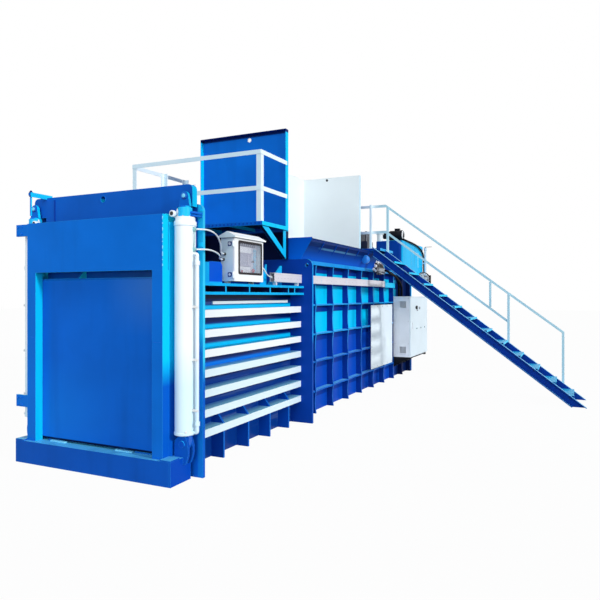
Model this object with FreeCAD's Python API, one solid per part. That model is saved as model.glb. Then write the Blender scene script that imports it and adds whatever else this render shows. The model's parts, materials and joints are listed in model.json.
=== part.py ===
import FreeCAD, Part
import math
import os

# Horizontal recycling baler, millimetres, +Z up. The outlet gate faces -Y, the ram
# works along Y, and the loading lip, control box and stairs are on the +X side.
# Origin: on the floor, in the middle of the gate sill's underside.

os.makedirs("parts", exist_ok=True)
V = FreeCAD.Vector
X_AXIS = V(1, 0, 0)
Y_AXIS = V(0, 1, 0)
Z_AXIS = V(0, 0, 1)

# ---------------------------------------------------------------- driving dimensions
# Clearances and plates
SLIDE_GAP = 0.5            # between sliding faces
FIT = 0.05                 # radial running clearance of shafts and pistons
SHEET = 3.0                # cabinet sheet metal

# Gate frame
SILL_HALF = 910.0
SILL_DEPTH = 255.0
SILL_H = 205.0
SILL_WALL = 16.0
SILL_PAD = 110.0           # pad plates on the sill's front corners
SILL_PAD_T = 12.0
POST_OUT = 800.0           # outer face of a post, from the centreline
POST_FACE = 110.0
POST_FRONT = -92.5
POST_DEPTH = 72.5
POST_WALL = 10.0
GUIDE_T = 24.0             # web plate that guides the gate's edge
HEAD_LOW = 1765.0
HEAD_HIGH = 2225.0
HEAD_PLATE = 12.0
HEAD_DEPTH = 66.5

# Gate
GATE_FRONT = -17.5
GATE_HALF = 765.0
GATE_SKIN = 16.0
GATE_WEB_X = -252.0        # middle of the upright web between the skins
GATE_TOP = 2240.0
FRONT_SKIN_TOP = 1690.0    # above it the gate is open to the front, with a slanted web
WEB_SLANT = 60.0           # the web's front edge steps back this far for each
WEB_RISE = 75.0            # rise
GATE_REST = 12.0           # rest blocks under the gate
REST_W = 180.0
REST_X = 520.0
GUIDE_GAP = 10.0
POST_LUG = 150.0           # plates on the left post's outer side
POST_LUG_H = 110.0
POST_LUG_T = 20.0
POST_LUG_ZS = (510.0, 2110.0)
BEAM_HALF = 950.0
BEAM_FRONT = 100.0
BEAM_T = 62.0
BEAM_LOW = 2180.0
BEAM_TOP = 2495.0
BEAM_CORNER = 45.0
BEAM_NOTCH_X = 790.0
BEAM_NOTCH_Z = 2305.0
STRIKER_X = -800.0         # flat bar on the beam, with the rod that works the limit switch
STRIKER_REACH = 170.0
STRIKER_W = 30.0
STRIKER_T = 24.0
STRIKER_ROD_R = 9.0
STRIKER_ROD_L = 190.0
LIFT_EYE_X = -55.0
LIFT_EYE_Z = 2432.0
LIFT_EYE_R = 29.0

# Lift cylinders
LIFT_X = 900.0
LIFT_Y = 70.0
LIFT_PIN_LOW = 315.0
LIFT_PIN_TOP = 2390.0
LIFT_TUBE_R = 87.5
LIFT_BORE_R = 70.0
LIFT_ROD_R = 40.0
LIFT_TUBE_LOW = 392.0
LIFT_TUBE_TOP = 2177.0
LIFT_FLANGE_T = 32.0
LIFT_GLAND_TOP = 2290.0
LIFT_GLAND_R = 58.0
LIFT_STROKE = 1280.0
LIFT_EYE_T = 40.0
LIFT_EYE_OUT = 52.0
LIFT_PIN_R = 20.0
EAR_T = 22.0
EAR_GAP = 1.0
EAR_LEFT = 78.0            # clevis ear's reach inwards, outwards, above its pin
EAR_RIGHT = 64.0
EAR_TOP = 60.0
EAR_FOOT = 150.0           # lower end of the ear, on the sill's end face
ROD_END_R = 38.0
ROD_END_FOOT = 54.0        # half width at the bottom of the flared rod end
ROD_END_T = 26.0
ROD_FLANGE_T = 12.0
PIPE_R = 14.0
PIPE_X = 1024.0
PIPE_END = 20.0            # from the tube's bottom and
PIPE_TOP_END = 277.0       # from its top
LIFT_BASE = 40.0
LIFT_PISTON_L = 80.0
PIN_HEAD = 8.0

# Portal plate, bale chamber
PORTAL_FRONT = 175.0
PORTAL_T = 30.0
PORTAL_HALF = 1000.0
PORTAL_TOP = 2335.0
PORTAL_CORNER = 60.0
BOX_HALF = 640.0           # inside half width of bale chamber and press box
FLOOR_TOP = 255.0
FLOOR_T = 30.0
ROOF_LOW = 1480.0
ROOF_T = 30.0
WALL_T = 30.0
MID_FRONT = 2332.0         # plate between bale chamber and press box
MID_T = 30.0
MID_HALF = 975.0
MID_CORNER = 90.0
SLING_R = 24.0
SLING_IN = 75.0
CHANNEL_ROWS = 7
CHANNEL_FIRST = 260.0
CHANNEL_PITCH = 182.0
CHANNEL_H = 72.0
CHANNEL_DEPTH = 150.0
CHANNEL_T = 9.0
STRIP_START = 740.0
STRIP_END = 90.0
STRIP_Z = 1470.0
STRIP_H = 30.0
STRIP_T = 15.0
FOOT_PITCH = 430.0
FOOT_FIRST = 733.0
FOOT_COUNT = 4
FOOT_T = 20.0
FOOT_IN = 5.0              # feet in from the channels' faces
LADDER_LOW = 1563.0
LADDER_TOP = 1671.0
LADDER_FLANGE = 26.0
LADDER_DEPTH = 190.0
LADDER_WEB = 22.0
LADDER_WEBS = (708.0, 1120.0, 1532.0, 1947.0, 2097.0)
BRACKET_H = 205.0
ROOF_GUSSETS = ((1545.0, 1695.0), (1715.0, 2040.0))
ROOF_GUSSET_H = 235.0
ROOF_GUSSET_T = 16.0
ROOF_GUSSET_PAST = 30.0     # gussets outwards of the wall

# Press box
PRESS_END = 7400.0
END_T = 40.0
RIB_FIRST = 2867.0
RIB_PITCH = 561.0
RIB_COUNT = 9
RIB_T = 22.0
RIB_DEPTH = 100.0
BELT_LEVELS = (290.0, 680.0, 1045.0, 1430.0)
BELT_T = 20.0
BELT_IN = 8.0
EDGE_DIP = 15.0            # hollow of a rib's or belt's outer edge between two crossings
TOP_FLANGE_T = 50.0
FLANGE_PAST = 12.0         # top flange outwards of the ribs
SADDLE_T = 60.0
SADDLE_HALF = 220.0
SADDLE_FIT = 0.3
LEG = 80.0
CROSS_HALF = 110.0
BOX_TOP = 2004.0
DECK_T = 12.0
DECK_TAIL = 180.0          # deck beyond the ram cylinder's rear pin
REAR_IN = 20.0             # deck rails in from the ribs' edge
LEG_IN = 10.0              # rear legs in from the deck's end
LEG_GAP = 20.0             # rear legs and ties beside the ram cylinder's tube
TIE_H = 120.0

# Ram and its cylinder
RAM_REST = 5010.0
RAM_LENGTH = 2300.0
RAM_PLATE = 50.0
RAM_SIDE = 20.0
RAM_GAP = 12.0
RAM_STROKE = 2650.0
RAM_AXIS_Z = 862.0
RAM_TUBE_R = 140.0
RAM_BORE_R = 110.0
RAM_ROD_R = 75.0
RAM_TUBE_FRONT = 5700.0
RAM_TUBE_END = 8600.0
RAM_PIN_BACK = 90.0        # rear pin behind the tube's end
RAM_PIN_R = 40.0
RAM_LUG_NOSE = 75.0        # lug in front of its pin
RAM_PISTON_L = 110.0
RAM_EYE_T = 90.0
RAM_EYE_R = 70.0
RAM_LUG_T = 30.0
RAM_GLAND_L = 60.0
SHOE_T = 20.0
SHOE_X = 430.0
BLADE_T = 28.0
BLADE_H = 80.0

# Hopper
HOPPER_TOP = 3610.0
HOPPER_SHEET = 8.0
HOPPER_RIM = 60.0
HOPPER_HALF = 530.0
HOPPER_REAR = 5055.0
LIP_X = 920.0
LIP_Z = 2268.0
LIP_START = 2400.0
LIP_END = 4995.0
LIP_EDGE = 14.0
CAP_R = 42.0
CAP_L = 30.0
CAP_Y = 4570.0
CAP_ON_SKIN = 0.50
HOOK_HOLE_R = 22.0
FRONT_HOLE_X = 80.0
FRONT_HOLE_IN = 68.0
REAR_HOLE_X = -80.0
REAR_HOLE_IN = 40.0
LEFT_RIBS = (2900.0, 3550.0, 4200.0, 4850.0)

# Platform at the hopper
PLAT_TOP = 2400.0
PLAT_T = 45.0
PLAT_PAST = 24.0           # platform outwards of the hopper's front wall
PLAT_LEFT = -1260.0
PLAT_FRONT = 1684.0
RAIL_TOP = 3212.0
RAIL_MID = 2802.0
RAIL_W = 50.0
RAIL_T = 6.0
SIDE_RAIL_END = 2712.0
PLAT_JOISTS = (-800.0, -300.0, 200.0)
BRACE_W = 40.0
POST_FLAT = 60.0

# Stairs
STAIR_NEAR = 4662.0
STAIR_FAR = 5283.0
STRINGER_T = 12.0
STRINGER_FLANGE = 45.0
STAIR_TOP_X = 920.0
STAIR_TOP_Z = 2335.0
STAIR_FOOT_X = 4058.0
STRINGER_H = 150.0
TREADS = 12
TREAD_FIRST_X = 1180.0
TREAD_LAST_X = 3800.0
TREAD_W = 190.0
TREAD_T = 30.0
STAIR_RAIL_H = 780.0
STAIR_RAIL_MID = 330.0
STAIR_RAIL_W = 45.0
STAIR_POST = 36.0
STAIR_POSTS = (939.0, 2941.0, 3739.0)
SHORT_POST = 2657.0        # strap between the two handrails
TREAD_DROP = 38.0
LANDING_TOP = 2350.0
LANDING_T = 40.0
LANDING_END = 5703.0
LANDING_POST_X = 630.0
RAIL_PAST = 175.0          # landing rails beyond their post

# Cable tray and sign panel
TRAY_Z = 1712.0
TRAY_H = 95.0
TRAY_W = 60.0
TRAY_START = 1672.0
TRAY_END = 5506.0
END_BOX_L = 564.0
TRAY_FEET = (1720.0, 2240.0)
SIGN_Y = 4965.0
SIGN_W = 1145.0
SIGN_Z = 322.0
SIGN_H = 1073.0

# Control box
BOX_X = 900.0
BOX_DEPTH = 155.0
BOX_Y0 = 790.0
BOX_W = 525.0
BOX_Z0 = 1694.0
BOX_H = 420.0
ROOF_OVER = 22.0
ROOF_RISE = 62.0
PANEL_IN = 52.0
BUTTON_R = 11.0
BEZEL_R = 15.0
BUTTON_GAP = 0.3
BUTTON_TRAVEL = 4.0
SIDE_ROW = 415.0           # emergency stop, selector and lamp from the box's near side
BOX_DOOR_T = 18.0
HINGE_R = 9.0
HINGE_PIN_R = 4.0

# Electrical cabinet
CAB_X = 1100.0
CAB_W = 1245.0
CAB_PAST = 45.0            # cabinet's rear side beyond the press box
CAB_Z0 = 410.0
CAB_TOP = 1528.0
CAB_DOOR_T = 22.0
LID_T = 14.0
VENT_W = 150.0
VENT_SLATS = 7
LAMP_IN = (415.0, 705.0, 990.0)
LAMP_Z = 928.0
SWITCH_IN = 360.0
SWITCH_DROP = 198.0

# Power unit
TANK_X0 = 70.0
TANK_X1 = 650.0
TANK_L = 1705.0
TANK_IN = 10.0             # tank's end in from the deck's end
TANK_H = 680.0
TANK_R = 70.0
TANK_FOOT = 30.0
TANK_WALL = 5.0
MOTOR_R = 105.0
MOTOR_L = 230.0
MOTOR_X = 285.0
MOTOR_IN = 265.0
FINS = 7
FIN_PITCH = 24.0
COWL_L = 80.0
FILTER_X = 125.0
FILTER_IN = 135.0
FILTER_H = 150.0
MANIFOLD_X = (300.0, 530.0)
MANIFOLD_L = 320.0
MANIFOLD_BACK = 425.0      # stand behind the hopper's rear wall
STAND_H = 330.0
BLOCK_H = 170.0
COIL_H = 180.0
COIL_PITCH = 66.0
GATE_VALVE_L = 420.0
GATE_VALVE_W = 70.0
GATE_VALVE_BACK = 45.0     # valve block behind the loading lip's end
FAN_X = 905.0
FAN_BACK = 450.0           # fan behind the press box
FAN_DROP = 98.0            # its axis below the deck
FAN_R = 118.0
FAN_BLADES = 5
SHROUD_R = 150.0
SWITCH_CABLE_ZS = (2106.0, 1938.0)
PIPE2_X = 725.0
PIPE2_IN = 110.0
LEVER_L = 150.0
HOSE_R = 18.0
CABLE_R = 7.0

RAM_PIN_Y = RAM_TUBE_END + RAM_PIN_BACK
DECK_END = RAM_PIN_Y + DECK_TAIL
CAB_Y1 = PRESS_END + CAB_PAST
CAB_Y0 = CAB_Y1 - CAB_W
SWITCH_Y = CAB_Y0 + SWITCH_IN
SWITCH_Z = CAB_TOP - SWITCH_DROP
TANK_Y1 = DECK_END - TANK_IN
TANK_Y0 = TANK_Y1 - TANK_L
MOTOR_Y = TANK_Y0 + MOTOR_IN
FILTER_Y = TANK_Y0 + FILTER_IN
MANIFOLD_Y = HOPPER_REAR + MANIFOLD_BACK
GATE_VALVE_Y = LIP_END + GATE_VALVE_BACK
FAN_Y = PRESS_END + FAN_BACK
FAN_Z = BOX_TOP - FAN_DROP
PIPE2_Y = DECK_END - PIPE2_IN
DECK_TOP = BOX_TOP + DECK_T
FLOOR_LOW = FLOOR_TOP - FLOOR_T
CHAMBER_START = PORTAL_FRONT + PORTAL_T
PRESS_START = MID_FRONT + MID_T
WALL_OUT = BOX_HALF + WALL_T
CHANNEL_OUT = WALL_OUT + CHANNEL_DEPTH
FOOT_OUT = CHANNEL_OUT - FOOT_IN
LADDER_OUT = WALL_OUT + LADDER_DEPTH
RIB_OUT = WALL_OUT + RIB_DEPTH
TOP_FLANGE_OUT = RIB_OUT + FLANGE_PAST
HOPPER_FRONT_HALF = BOX_HALF
PLAT_RIGHT = HOPPER_FRONT_HALF + PLAT_PAST
GUSSET_X = WALL_OUT + ROOF_GUSSET_PAST


# ---------------------------------------------------------------- small helpers
def box(x0, x1, y0, y1, z0, z1):
    return Part.makeBox(x1 - x0, y1 - y0, z1 - z0, V(x0, y0, z0))


def rod(r, length, x, y, z, axis):
    return Part.makeCylinder(r, length, V(x, y, z), axis)


def tube(r_out, r_in, length, x, y, z, axis):
    return rod(r_out, length, x, y, z, axis).cut(rod(r_in, length, x, y, z, axis))


def prism(points, axis, start, end):
    """Closed outline of (a, b) points, swept from start to end along axis.

    Along X the outline is (y, z), along Y it is (x, z), along Z it is (x, y).
    """
    place = {"x": lambda a, b: V(start, a, b),
             "y": lambda a, b: V(a, start, b),
             "z": lambda a, b: V(a, b, start)}[axis]
    direction = {"x": X_AXIS, "y": Y_AXIS, "z": Z_AXIS}[axis]
    corners = [place(a, b) for a, b in points]
    wire = Part.makePolygon(corners + corners[:1])
    return Part.Face(wire).extrude(direction * (end - start))


def mirror(shape):
    return shape.mirror(V(0, 0, 0), X_AXIS)


def group(*shapes):
    solids = []
    for shape in shapes:
        solids.extend(shape.Solids)
    return Part.Compound(solids)


def fused(*shapes):
    body = shapes[0]
    for shape in shapes[1:]:
        body = body.fuse(shape)
    return body.removeSplitter()


def edges_along(shape, axis, low, high):
    """Straight edges along axis whose middle lies in the box low..high."""
    found = []
    for edge in shape.Edges:
        a, b = edge.Vertexes[0].Point, edge.Vertexes[-1].Point
        step = b - a
        if step.Length < 1e-6 or abs(abs(step.dot(axis)) - step.Length) > 1e-6:
            continue
        m = (a + b) * 0.5
        if all(low[i] <= m[i] <= high[i] for i in range(3)):
            found.append(edge)
    return found


BIG = 1e5
ALL = ((-BIG, -BIG, -BIG), (BIG, BIG, BIG))


def hose(points, radius):
    """Round tube along straight runs joined by tangent arcs as large as the runs allow."""
    edges = []
    start = points[0]
    for before, corner, after in zip(points, points[1:], points[2:]):
        a, b = before - corner, after - corner
        shorter = min(a.Length, b.Length)
        a.normalize()
        b.normalize()
        half = a.getAngle(b) / 2
        reach = 0.45 * shorter
        bend = reach * math.tan(half)
        p, q = corner + a * reach, corner + b * reach
        middle = corner + (a + b).normalize() * (bend / math.sin(half) - bend)
        edges.append(Part.LineSegment(start, p).toShape())
        edges.append(Part.Arc(p, middle, q).toShape())
        start = q
    edges.append(Part.LineSegment(start, points[-1]).toShape())
    first = (points[1] - points[0]).normalize()
    ring = Part.Wire([Part.makeCircle(radius, points[0], first)])
    return Part.Wire(edges).makePipeShell([ring], True, True)


def both(shape):
    """The solids of a right-hand shape and of its left-hand mirror image."""
    return group(shape, mirror(shape))


parts = {}

# ---------------------------------------------------------------- gate frame
SILL_FRONT = -SILL_DEPTH / 2
SILL_BACK = SILL_DEPTH / 2
GATE_BACK = BEAM_FRONT
EAR_IN = LIFT_EYE_T / 2 + EAR_GAP
EAR_OUT = EAR_IN + EAR_T
TUBE_X = SILL_HALF - SILL_WALL


def clevis_ear(y0, y1):
    """Ear about the lower pin of a lift cylinder, bowed outwards and let over the sill's end."""
    x, z = LIFT_X, LIFT_PIN_LOW
    outer = x + EAR_RIGHT
    waist = outer - 0.45 * EAR_RIGHT
    top = z + EAR_TOP
    foot = [V(waist, 0, EAR_FOOT), V(SILL_HALF, 0, EAR_FOOT), V(SILL_HALF, 0, SILL_H),
            V(x - EAR_LEFT, 0, SILL_H), V(x - EAR_LEFT, 0, z)]
    edges = [Part.LineSegment(a, b) for a, b in zip(foot, foot[1:])]
    shoulder = V(x - EAR_LEFT + EAR_TOP, 0, top)
    turn = EAR_TOP * (1 - math.cos(math.pi / 4))
    edges.append(Part.Arc(foot[-1], V(x - EAR_LEFT + turn, 0, top - turn), shoulder))
    edges.append(Part.LineSegment(shoulder, V(waist, 0, top)))
    edges.append(Part.Arc(V(waist, 0, top), V(outer, 0, (top + EAR_FOOT) / 2), foot[0]))
    plate = Part.Face(Part.Wire([edge.toShape() for edge in edges])).extrude(Y_AXIS * (y1 - y0))
    plate.translate(V(0, y0, 0))
    return plate.cut(rod(LIFT_PIN_R, y1 - y0, x, y0, z, Y_AXIS))


def gate_sill():
    tube_body = box(-TUBE_X, TUBE_X, SILL_FRONT, SILL_BACK, 0, SILL_H)
    tube_body = tube_body.cut(box(-TUBE_X, TUBE_X, SILL_FRONT + SILL_WALL, SILL_BACK - SILL_WALL,
                                  SILL_WALL, SILL_H - SILL_WALL))
    cap = box(TUBE_X, SILL_HALF, SILL_FRONT, SILL_BACK, 0, SILL_H)
    rest = box(REST_X - REST_W / 2, REST_X + REST_W / 2, GATE_FRONT, GATE_BACK, SILL_H, SILL_H + GATE_REST)
    ears = group(clevis_ear(LIFT_Y - EAR_OUT, LIFT_Y - EAR_IN),
                 clevis_ear(LIFT_Y + EAR_IN, LIFT_Y + EAR_OUT))
    pad = box(SILL_HALF - SILL_PAD, SILL_HALF, SILL_FRONT, SILL_FRONT + SILL_PAD, SILL_H, SILL_H + SILL_PAD_T)
    pad = pad.cut(box(0, POST_OUT + 1, POST_FRONT - 1, BIG, 0, BIG))
    return group(tube_body, both(cap), both(rest), both(ears), both(pad))


def gate_post():
    x1, x0 = POST_OUT, POST_OUT - POST_FACE
    y0, y1 = POST_FRONT, POST_FRONT + POST_DEPTH
    outer = box(x0, x1, y0, y1, SILL_H, HEAD_LOW)
    return outer.cut(box(x0 + POST_WALL, x1 - POST_WALL, y0 + POST_WALL, y1 - POST_WALL, SILL_H, HEAD_LOW))


def gate_guide():
    """Web plate that ties a post to the portal plate and guides the gate's edge."""
    high = BEAM_LOW - GUIDE_GAP
    return box(POST_OUT - GUIDE_T, POST_OUT, POST_FRONT + POST_DEPTH, PORTAL_FRONT, SILL_H, high)


def gate_head():
    """Head plate folded back at top and bottom and closed at its ends."""
    back = POST_FRONT + HEAD_DEPTH
    inner = POST_FRONT + HEAD_PLATE
    profile = [(POST_FRONT, HEAD_LOW), (back, HEAD_LOW), (back, HEAD_LOW + HEAD_PLATE),
               (inner, HEAD_LOW + HEAD_PLATE), (inner, HEAD_HIGH - HEAD_PLATE),
               (back, HEAD_HIGH - HEAD_PLATE), (back, HEAD_HIGH), (POST_FRONT, HEAD_HIGH)]
    head = prism(profile, "x", -POST_OUT, POST_OUT)
    end_web = box(POST_OUT - HEAD_PLATE, POST_OUT, POST_FRONT, back, HEAD_LOW, HEAD_HIGH)
    return fused(head, end_web, mirror(end_web))


def post_lugs():
    """Small plates on the left post's outer side that carry the gate's limit switches."""
    return [box(-POST_OUT - POST_LUG, -POST_OUT, POST_FRONT, POST_FRONT + POST_LUG_T, z, z + POST_LUG_H)
            for z in POST_LUG_ZS]


parts["gate_sill"] = gate_sill()
parts["gate_frame"] = group(both(gate_post()), both(gate_guide()), gate_head(), *post_lugs())


# ---------------------------------------------------------------- gate
def gate_panel():
    """Gate with two skins and an upright web; its front skin ends below the head plate."""
    bottom = SILL_H + GATE_REST + SLIDE_GAP
    gate = box(-GATE_HALF, GATE_HALF, GATE_FRONT, GATE_BACK, bottom, GATE_TOP)
    inside = GATE_HALF - GATE_SKIN
    back = GATE_BACK - GATE_SKIN
    web = (GATE_WEB_X - GATE_SKIN / 2, GATE_WEB_X + GATE_SKIN / 2)
    for x0, x1 in ((-inside, web[0]), (web[1], inside)):
        gate = gate.cut(box(x0, x1, GATE_FRONT + GATE_SKIN, back, bottom + GATE_SKIN, GATE_TOP))
    rise = (back - GATE_FRONT) * WEB_RISE / WEB_SLANT
    opened = [(GATE_FRONT, FRONT_SKIN_TOP), (back, FRONT_SKIN_TOP + rise),
              (back, GATE_TOP), (GATE_FRONT, GATE_TOP)]
    return gate.cut(prism(opened, "x", -inside, inside))


def rod_end():
    """Flared plate on the lift rod's flange: round about the pin, as wide as the flange below."""
    x, z, r = LIFT_X, LIFT_PIN_TOP, ROD_END_R
    low = LIFT_GLAND_TOP + SLIDE_GAP
    foot = low + ROD_FLANGE_T
    tilt = math.atan2(ROD_END_FOOT - r, z - foot)
    side = V(x + r * math.cos(tilt), 0, z + r * math.sin(tilt))
    other = V(2 * x - side.x, 0, side.z)
    right, left = V(x + ROD_END_FOOT, 0, foot), V(x - ROD_END_FOOT, 0, foot)
    wire = Part.Wire([Part.LineSegment(left, right).toShape(), Part.LineSegment(right, side).toShape(),
                      Part.Arc(side, V(x, 0, z + r), other).toShape(),
                      Part.LineSegment(other, left).toShape()])
    y0 = LIFT_Y - ROD_END_T / 2
    plate = Part.Face(wire).extrude(Y_AXIS * ROD_END_T)
    plate.translate(V(0, y0, 0))
    plate = plate.cut(rod(LIFT_PIN_R, ROD_END_T, x, y0, z, Y_AXIS))
    return fused(plate, rod(LIFT_GLAND_R - 10, ROD_FLANGE_T, x, LIFT_Y, low, Z_AXIS))


def gate_beam():
    """Lifting beam, notched under each end to clear the lift cylinders' glands."""
    outline = [(-BEAM_NOTCH_X, BEAM_LOW), (BEAM_NOTCH_X, BEAM_LOW), (BEAM_NOTCH_X, BEAM_NOTCH_Z),
               (BEAM_HALF, BEAM_NOTCH_Z), (BEAM_HALF, BEAM_TOP), (-BEAM_HALF, BEAM_TOP),
               (-BEAM_HALF, BEAM_NOTCH_Z), (-BEAM_NOTCH_X, BEAM_NOTCH_Z)]
    beam = prism(outline, "y", BEAM_FRONT, BEAM_FRONT + BEAM_T)
    top_edges = edges_along(beam, Y_AXIS, (-BIG, -BIG, BEAM_TOP - 1), (BIG, BIG, BEAM_TOP + 1))
    beam = beam.makeFillet(BEAM_CORNER, top_edges)
    return beam.cut(rod(LIFT_EYE_R, BEAM_T, LIFT_EYE_X, BEAM_FRONT, LIFT_EYE_Z, Y_AXIS))


def striker():
    """Bar across the beam's top edge, reaching forwards, and the rod hanging from it."""
    x0, x1 = STRIKER_X - STRIKER_W / 2, STRIKER_X + STRIKER_W / 2
    y0 = BEAM_FRONT - STRIKER_REACH
    bar = box(x0, x1, y0, BEAM_FRONT + BEAM_T, BEAM_TOP, BEAM_TOP + STRIKER_T)
    low = BEAM_TOP - STRIKER_ROD_L
    hanging = rod(STRIKER_ROD_R, STRIKER_ROD_L, STRIKER_X, y0 + STRIKER_W / 2, low, Z_AXIS)
    return group(bar, hanging)


def headed_pin(y0, y1, z):
    shank = rod(LIFT_PIN_R - FIT, y1 - y0, LIFT_X, y0, z, Y_AXIS)
    head = rod(LIFT_PIN_R + PIN_HEAD, PIN_HEAD, LIFT_X, y0 - PIN_HEAD, z, Y_AXIS)
    return shank.fuse(head).removeSplitter()


parts["gate_panel"] = gate_panel()
parts["gate_beam"] = group(gate_beam(), striker())
parts["rod_ends"] = both(rod_end())
parts["gate_pins"] = both(headed_pin(LIFT_Y - ROD_END_T / 2 - EAR_GAP, BEAM_FRONT, LIFT_PIN_TOP))

# ---------------------------------------------------------------- lift cylinders
PISTON_LOW = LIFT_TUBE_LOW + LIFT_BASE + 20.0


def lift_tube():
    length = LIFT_TUBE_TOP - LIFT_TUBE_LOW
    body = tube(LIFT_TUBE_R, LIFT_BORE_R, length, LIFT_X, LIFT_Y, LIFT_TUBE_LOW, Z_AXIS)
    base = rod(LIFT_TUBE_R, LIFT_BASE, LIFT_X, LIFT_Y, LIFT_TUBE_LOW, Z_AXIS)
    y0, y1 = LIFT_Y - LIFT_EYE_T / 2, LIFT_Y + LIFT_EYE_T / 2
    foot = box(LIFT_X - LIFT_EYE_OUT, LIFT_X + LIFT_EYE_OUT, y0, y1, LIFT_PIN_LOW, LIFT_TUBE_LOW + 1)
    eye = rod(LIFT_EYE_OUT, LIFT_EYE_T, LIFT_X, y0, LIFT_PIN_LOW, Y_AXIS)
    body = fused(body, base, foot, eye)
    return body.cut(rod(LIFT_PIN_R, LIFT_EYE_T, LIFT_X, y0, LIFT_PIN_LOW, Y_AXIS))


def lift_gland():
    bore = LIFT_ROD_R + FIT
    flange = tube(LIFT_TUBE_R - 6, bore, LIFT_FLANGE_T, LIFT_X, LIFT_Y, LIFT_TUBE_TOP, Z_AXIS)
    z = LIFT_TUBE_TOP + LIFT_FLANGE_T
    collar = tube(LIFT_GLAND_R, bore, LIFT_GLAND_TOP - z, LIFT_X, LIFT_Y, z, Z_AXIS)
    return fused(flange, collar)


def lift_rod():
    shaft = rod(LIFT_ROD_R, LIFT_GLAND_TOP + SLIDE_GAP - PISTON_LOW, LIFT_X, LIFT_Y, PISTON_LOW, Z_AXIS)
    piston = rod(LIFT_BORE_R - FIT, LIFT_PISTON_L, LIFT_X, LIFT_Y, PISTON_LOW, Z_AXIS)
    return fused(shaft, piston)


def lift_pipe():
    """Steel oil pipe beside the tube, with an elbow into the tube at each end."""
    wall = LIFT_X + LIFT_TUBE_R
    low, high = LIFT_TUBE_LOW + PIPE_END, LIFT_TUBE_TOP - PIPE_TOP_END
    run = hose([V(wall, LIFT_Y, low), V(PIPE_X, LIFT_Y, low), V(PIPE_X, LIFT_Y, high), V(wall, LIFT_Y, high)],
               PIPE_R)
    nuts = [rod(PIPE_R + 7, 34, PIPE_X, LIFT_Y, z, Z_AXIS) for z in (low + 60, high - 94)]
    return fused(run, *nuts)


parts["lift_tubes"] = group(both(lift_tube()), both(lift_pipe()))
parts["lift_glands"] = both(lift_gland())
parts["lift_rods"] = both(lift_rod())


# ---------------------------------------------------------------- portal and bale chamber
def portal_plate():
    plate = box(-PORTAL_HALF, PORTAL_HALF, PORTAL_FRONT, CHAMBER_START, 0, PORTAL_TOP)
    plate = plate.cut(box(-BOX_HALF, BOX_HALF, PORTAL_FRONT, CHAMBER_START, FLOOR_TOP, ROOF_LOW))
    top = edges_along(plate, Y_AXIS, (-BIG, -BIG, PORTAL_TOP - 1), (BIG, BIG, PORTAL_TOP + 1))
    return plate.makeFillet(PORTAL_CORNER, top)


def chamber_plates():
    floor = box(-BOX_HALF, BOX_HALF, CHAMBER_START, MID_FRONT, FLOOR_LOW, FLOOR_TOP)
    wall = box(BOX_HALF, WALL_OUT, CHAMBER_START, MID_FRONT, 0, LADDER_TOP)
    roof = box(-BOX_HALF, BOX_HALF, CHAMBER_START, MID_FRONT, ROOF_LOW, ROOF_LOW + ROOF_T)
    return group(floor, both(wall), roof)


def side_channel(z):
    x0, x1, t = WALL_OUT, CHANNEL_OUT, CHANNEL_T
    top = z + CHANNEL_H
    profile = [(x0, z), (x1, z), (x1, top), (x0, top),
               (x0, top - t), (x1 - t, top - t), (x1 - t, z + t), (x0, z + t)]
    return prism(profile, "y", CHAMBER_START, MID_FRONT)


def wall_strip():
    """Flat bar along the wall between the top channel and the ladder beam."""
    return box(WALL_OUT, WALL_OUT + STRIP_T, STRIP_START, MID_FRONT - STRIP_END, STRIP_Z, STRIP_Z + STRIP_H)


def chamber_foot(y):
    """Cross plate under the chamber floor, and the foot on each side below the channels."""
    cross = box(-BOX_HALF, BOX_HALF, y, y + FOOT_T, 0, FLOOR_LOW)
    foot = box(WALL_OUT, FOOT_OUT, y, y + FOOT_T, 0, CHANNEL_FIRST)
    return group(cross, both(foot))


def channel_gusset(y):
    low = CHANNEL_FIRST + CHANNEL_H
    high = CHANNEL_FIRST + CHANNEL_PITCH
    outline = [(WALL_OUT, low), (CHANNEL_OUT - 6, low), (WALL_OUT + 60, high), (WALL_OUT, high)]
    return prism(outline, "y", y, y + FOOT_T)


def ladder_beam():
    """Two long flanges on the chamber wall's top edge, with webs between them."""
    low = box(WALL_OUT, LADDER_OUT, CHAMBER_START, MID_FRONT, LADDER_LOW, LADDER_LOW + LADDER_FLANGE)
    high = box(WALL_OUT, LADDER_OUT, CHAMBER_START, MID_FRONT, LADDER_TOP - LADDER_FLANGE, LADDER_TOP)
    webs = [box(WALL_OUT, LADDER_OUT - 8, y, y + LADDER_WEB, LADDER_LOW, LADDER_TOP) for y in LADDER_WEBS]
    return fused(low, high, *webs)


def mid_plate():
    plate = box(-MID_HALF, MID_HALF, MID_FRONT, PRESS_START, 0, BOX_TOP)
    plate = plate.cut(box(-BOX_HALF, BOX_HALF, MID_FRONT, PRESS_START, FLOOR_TOP, ROOF_LOW))
    top = edges_along(plate, Y_AXIS, (-BIG, -BIG, BOX_TOP - 1), (BIG, BIG, BOX_TOP + 1))
    plate = plate.makeFillet(MID_CORNER, top)
    for x in (-MID_HALF + SLING_IN, MID_HALF - SLING_IN):
        plate = plate.cut(rod(SLING_R, MID_T, x, MID_FRONT, BOX_TOP - SLING_IN, Y_AXIS))
    return plate


parts["portal_plate"] = portal_plate()
parts["chamber_plates"] = chamber_plates()
channels = [side_channel(CHANNEL_FIRST + CHANNEL_PITCH * i) for i in range(CHANNEL_ROWS)]
parts["side_channels"] = both(group(*channels, wall_strip()))
foot_ys = [FOOT_FIRST + FOOT_PITCH * i for i in range(FOOT_COUNT)]
parts["mid_plate"] = mid_plate()

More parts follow.
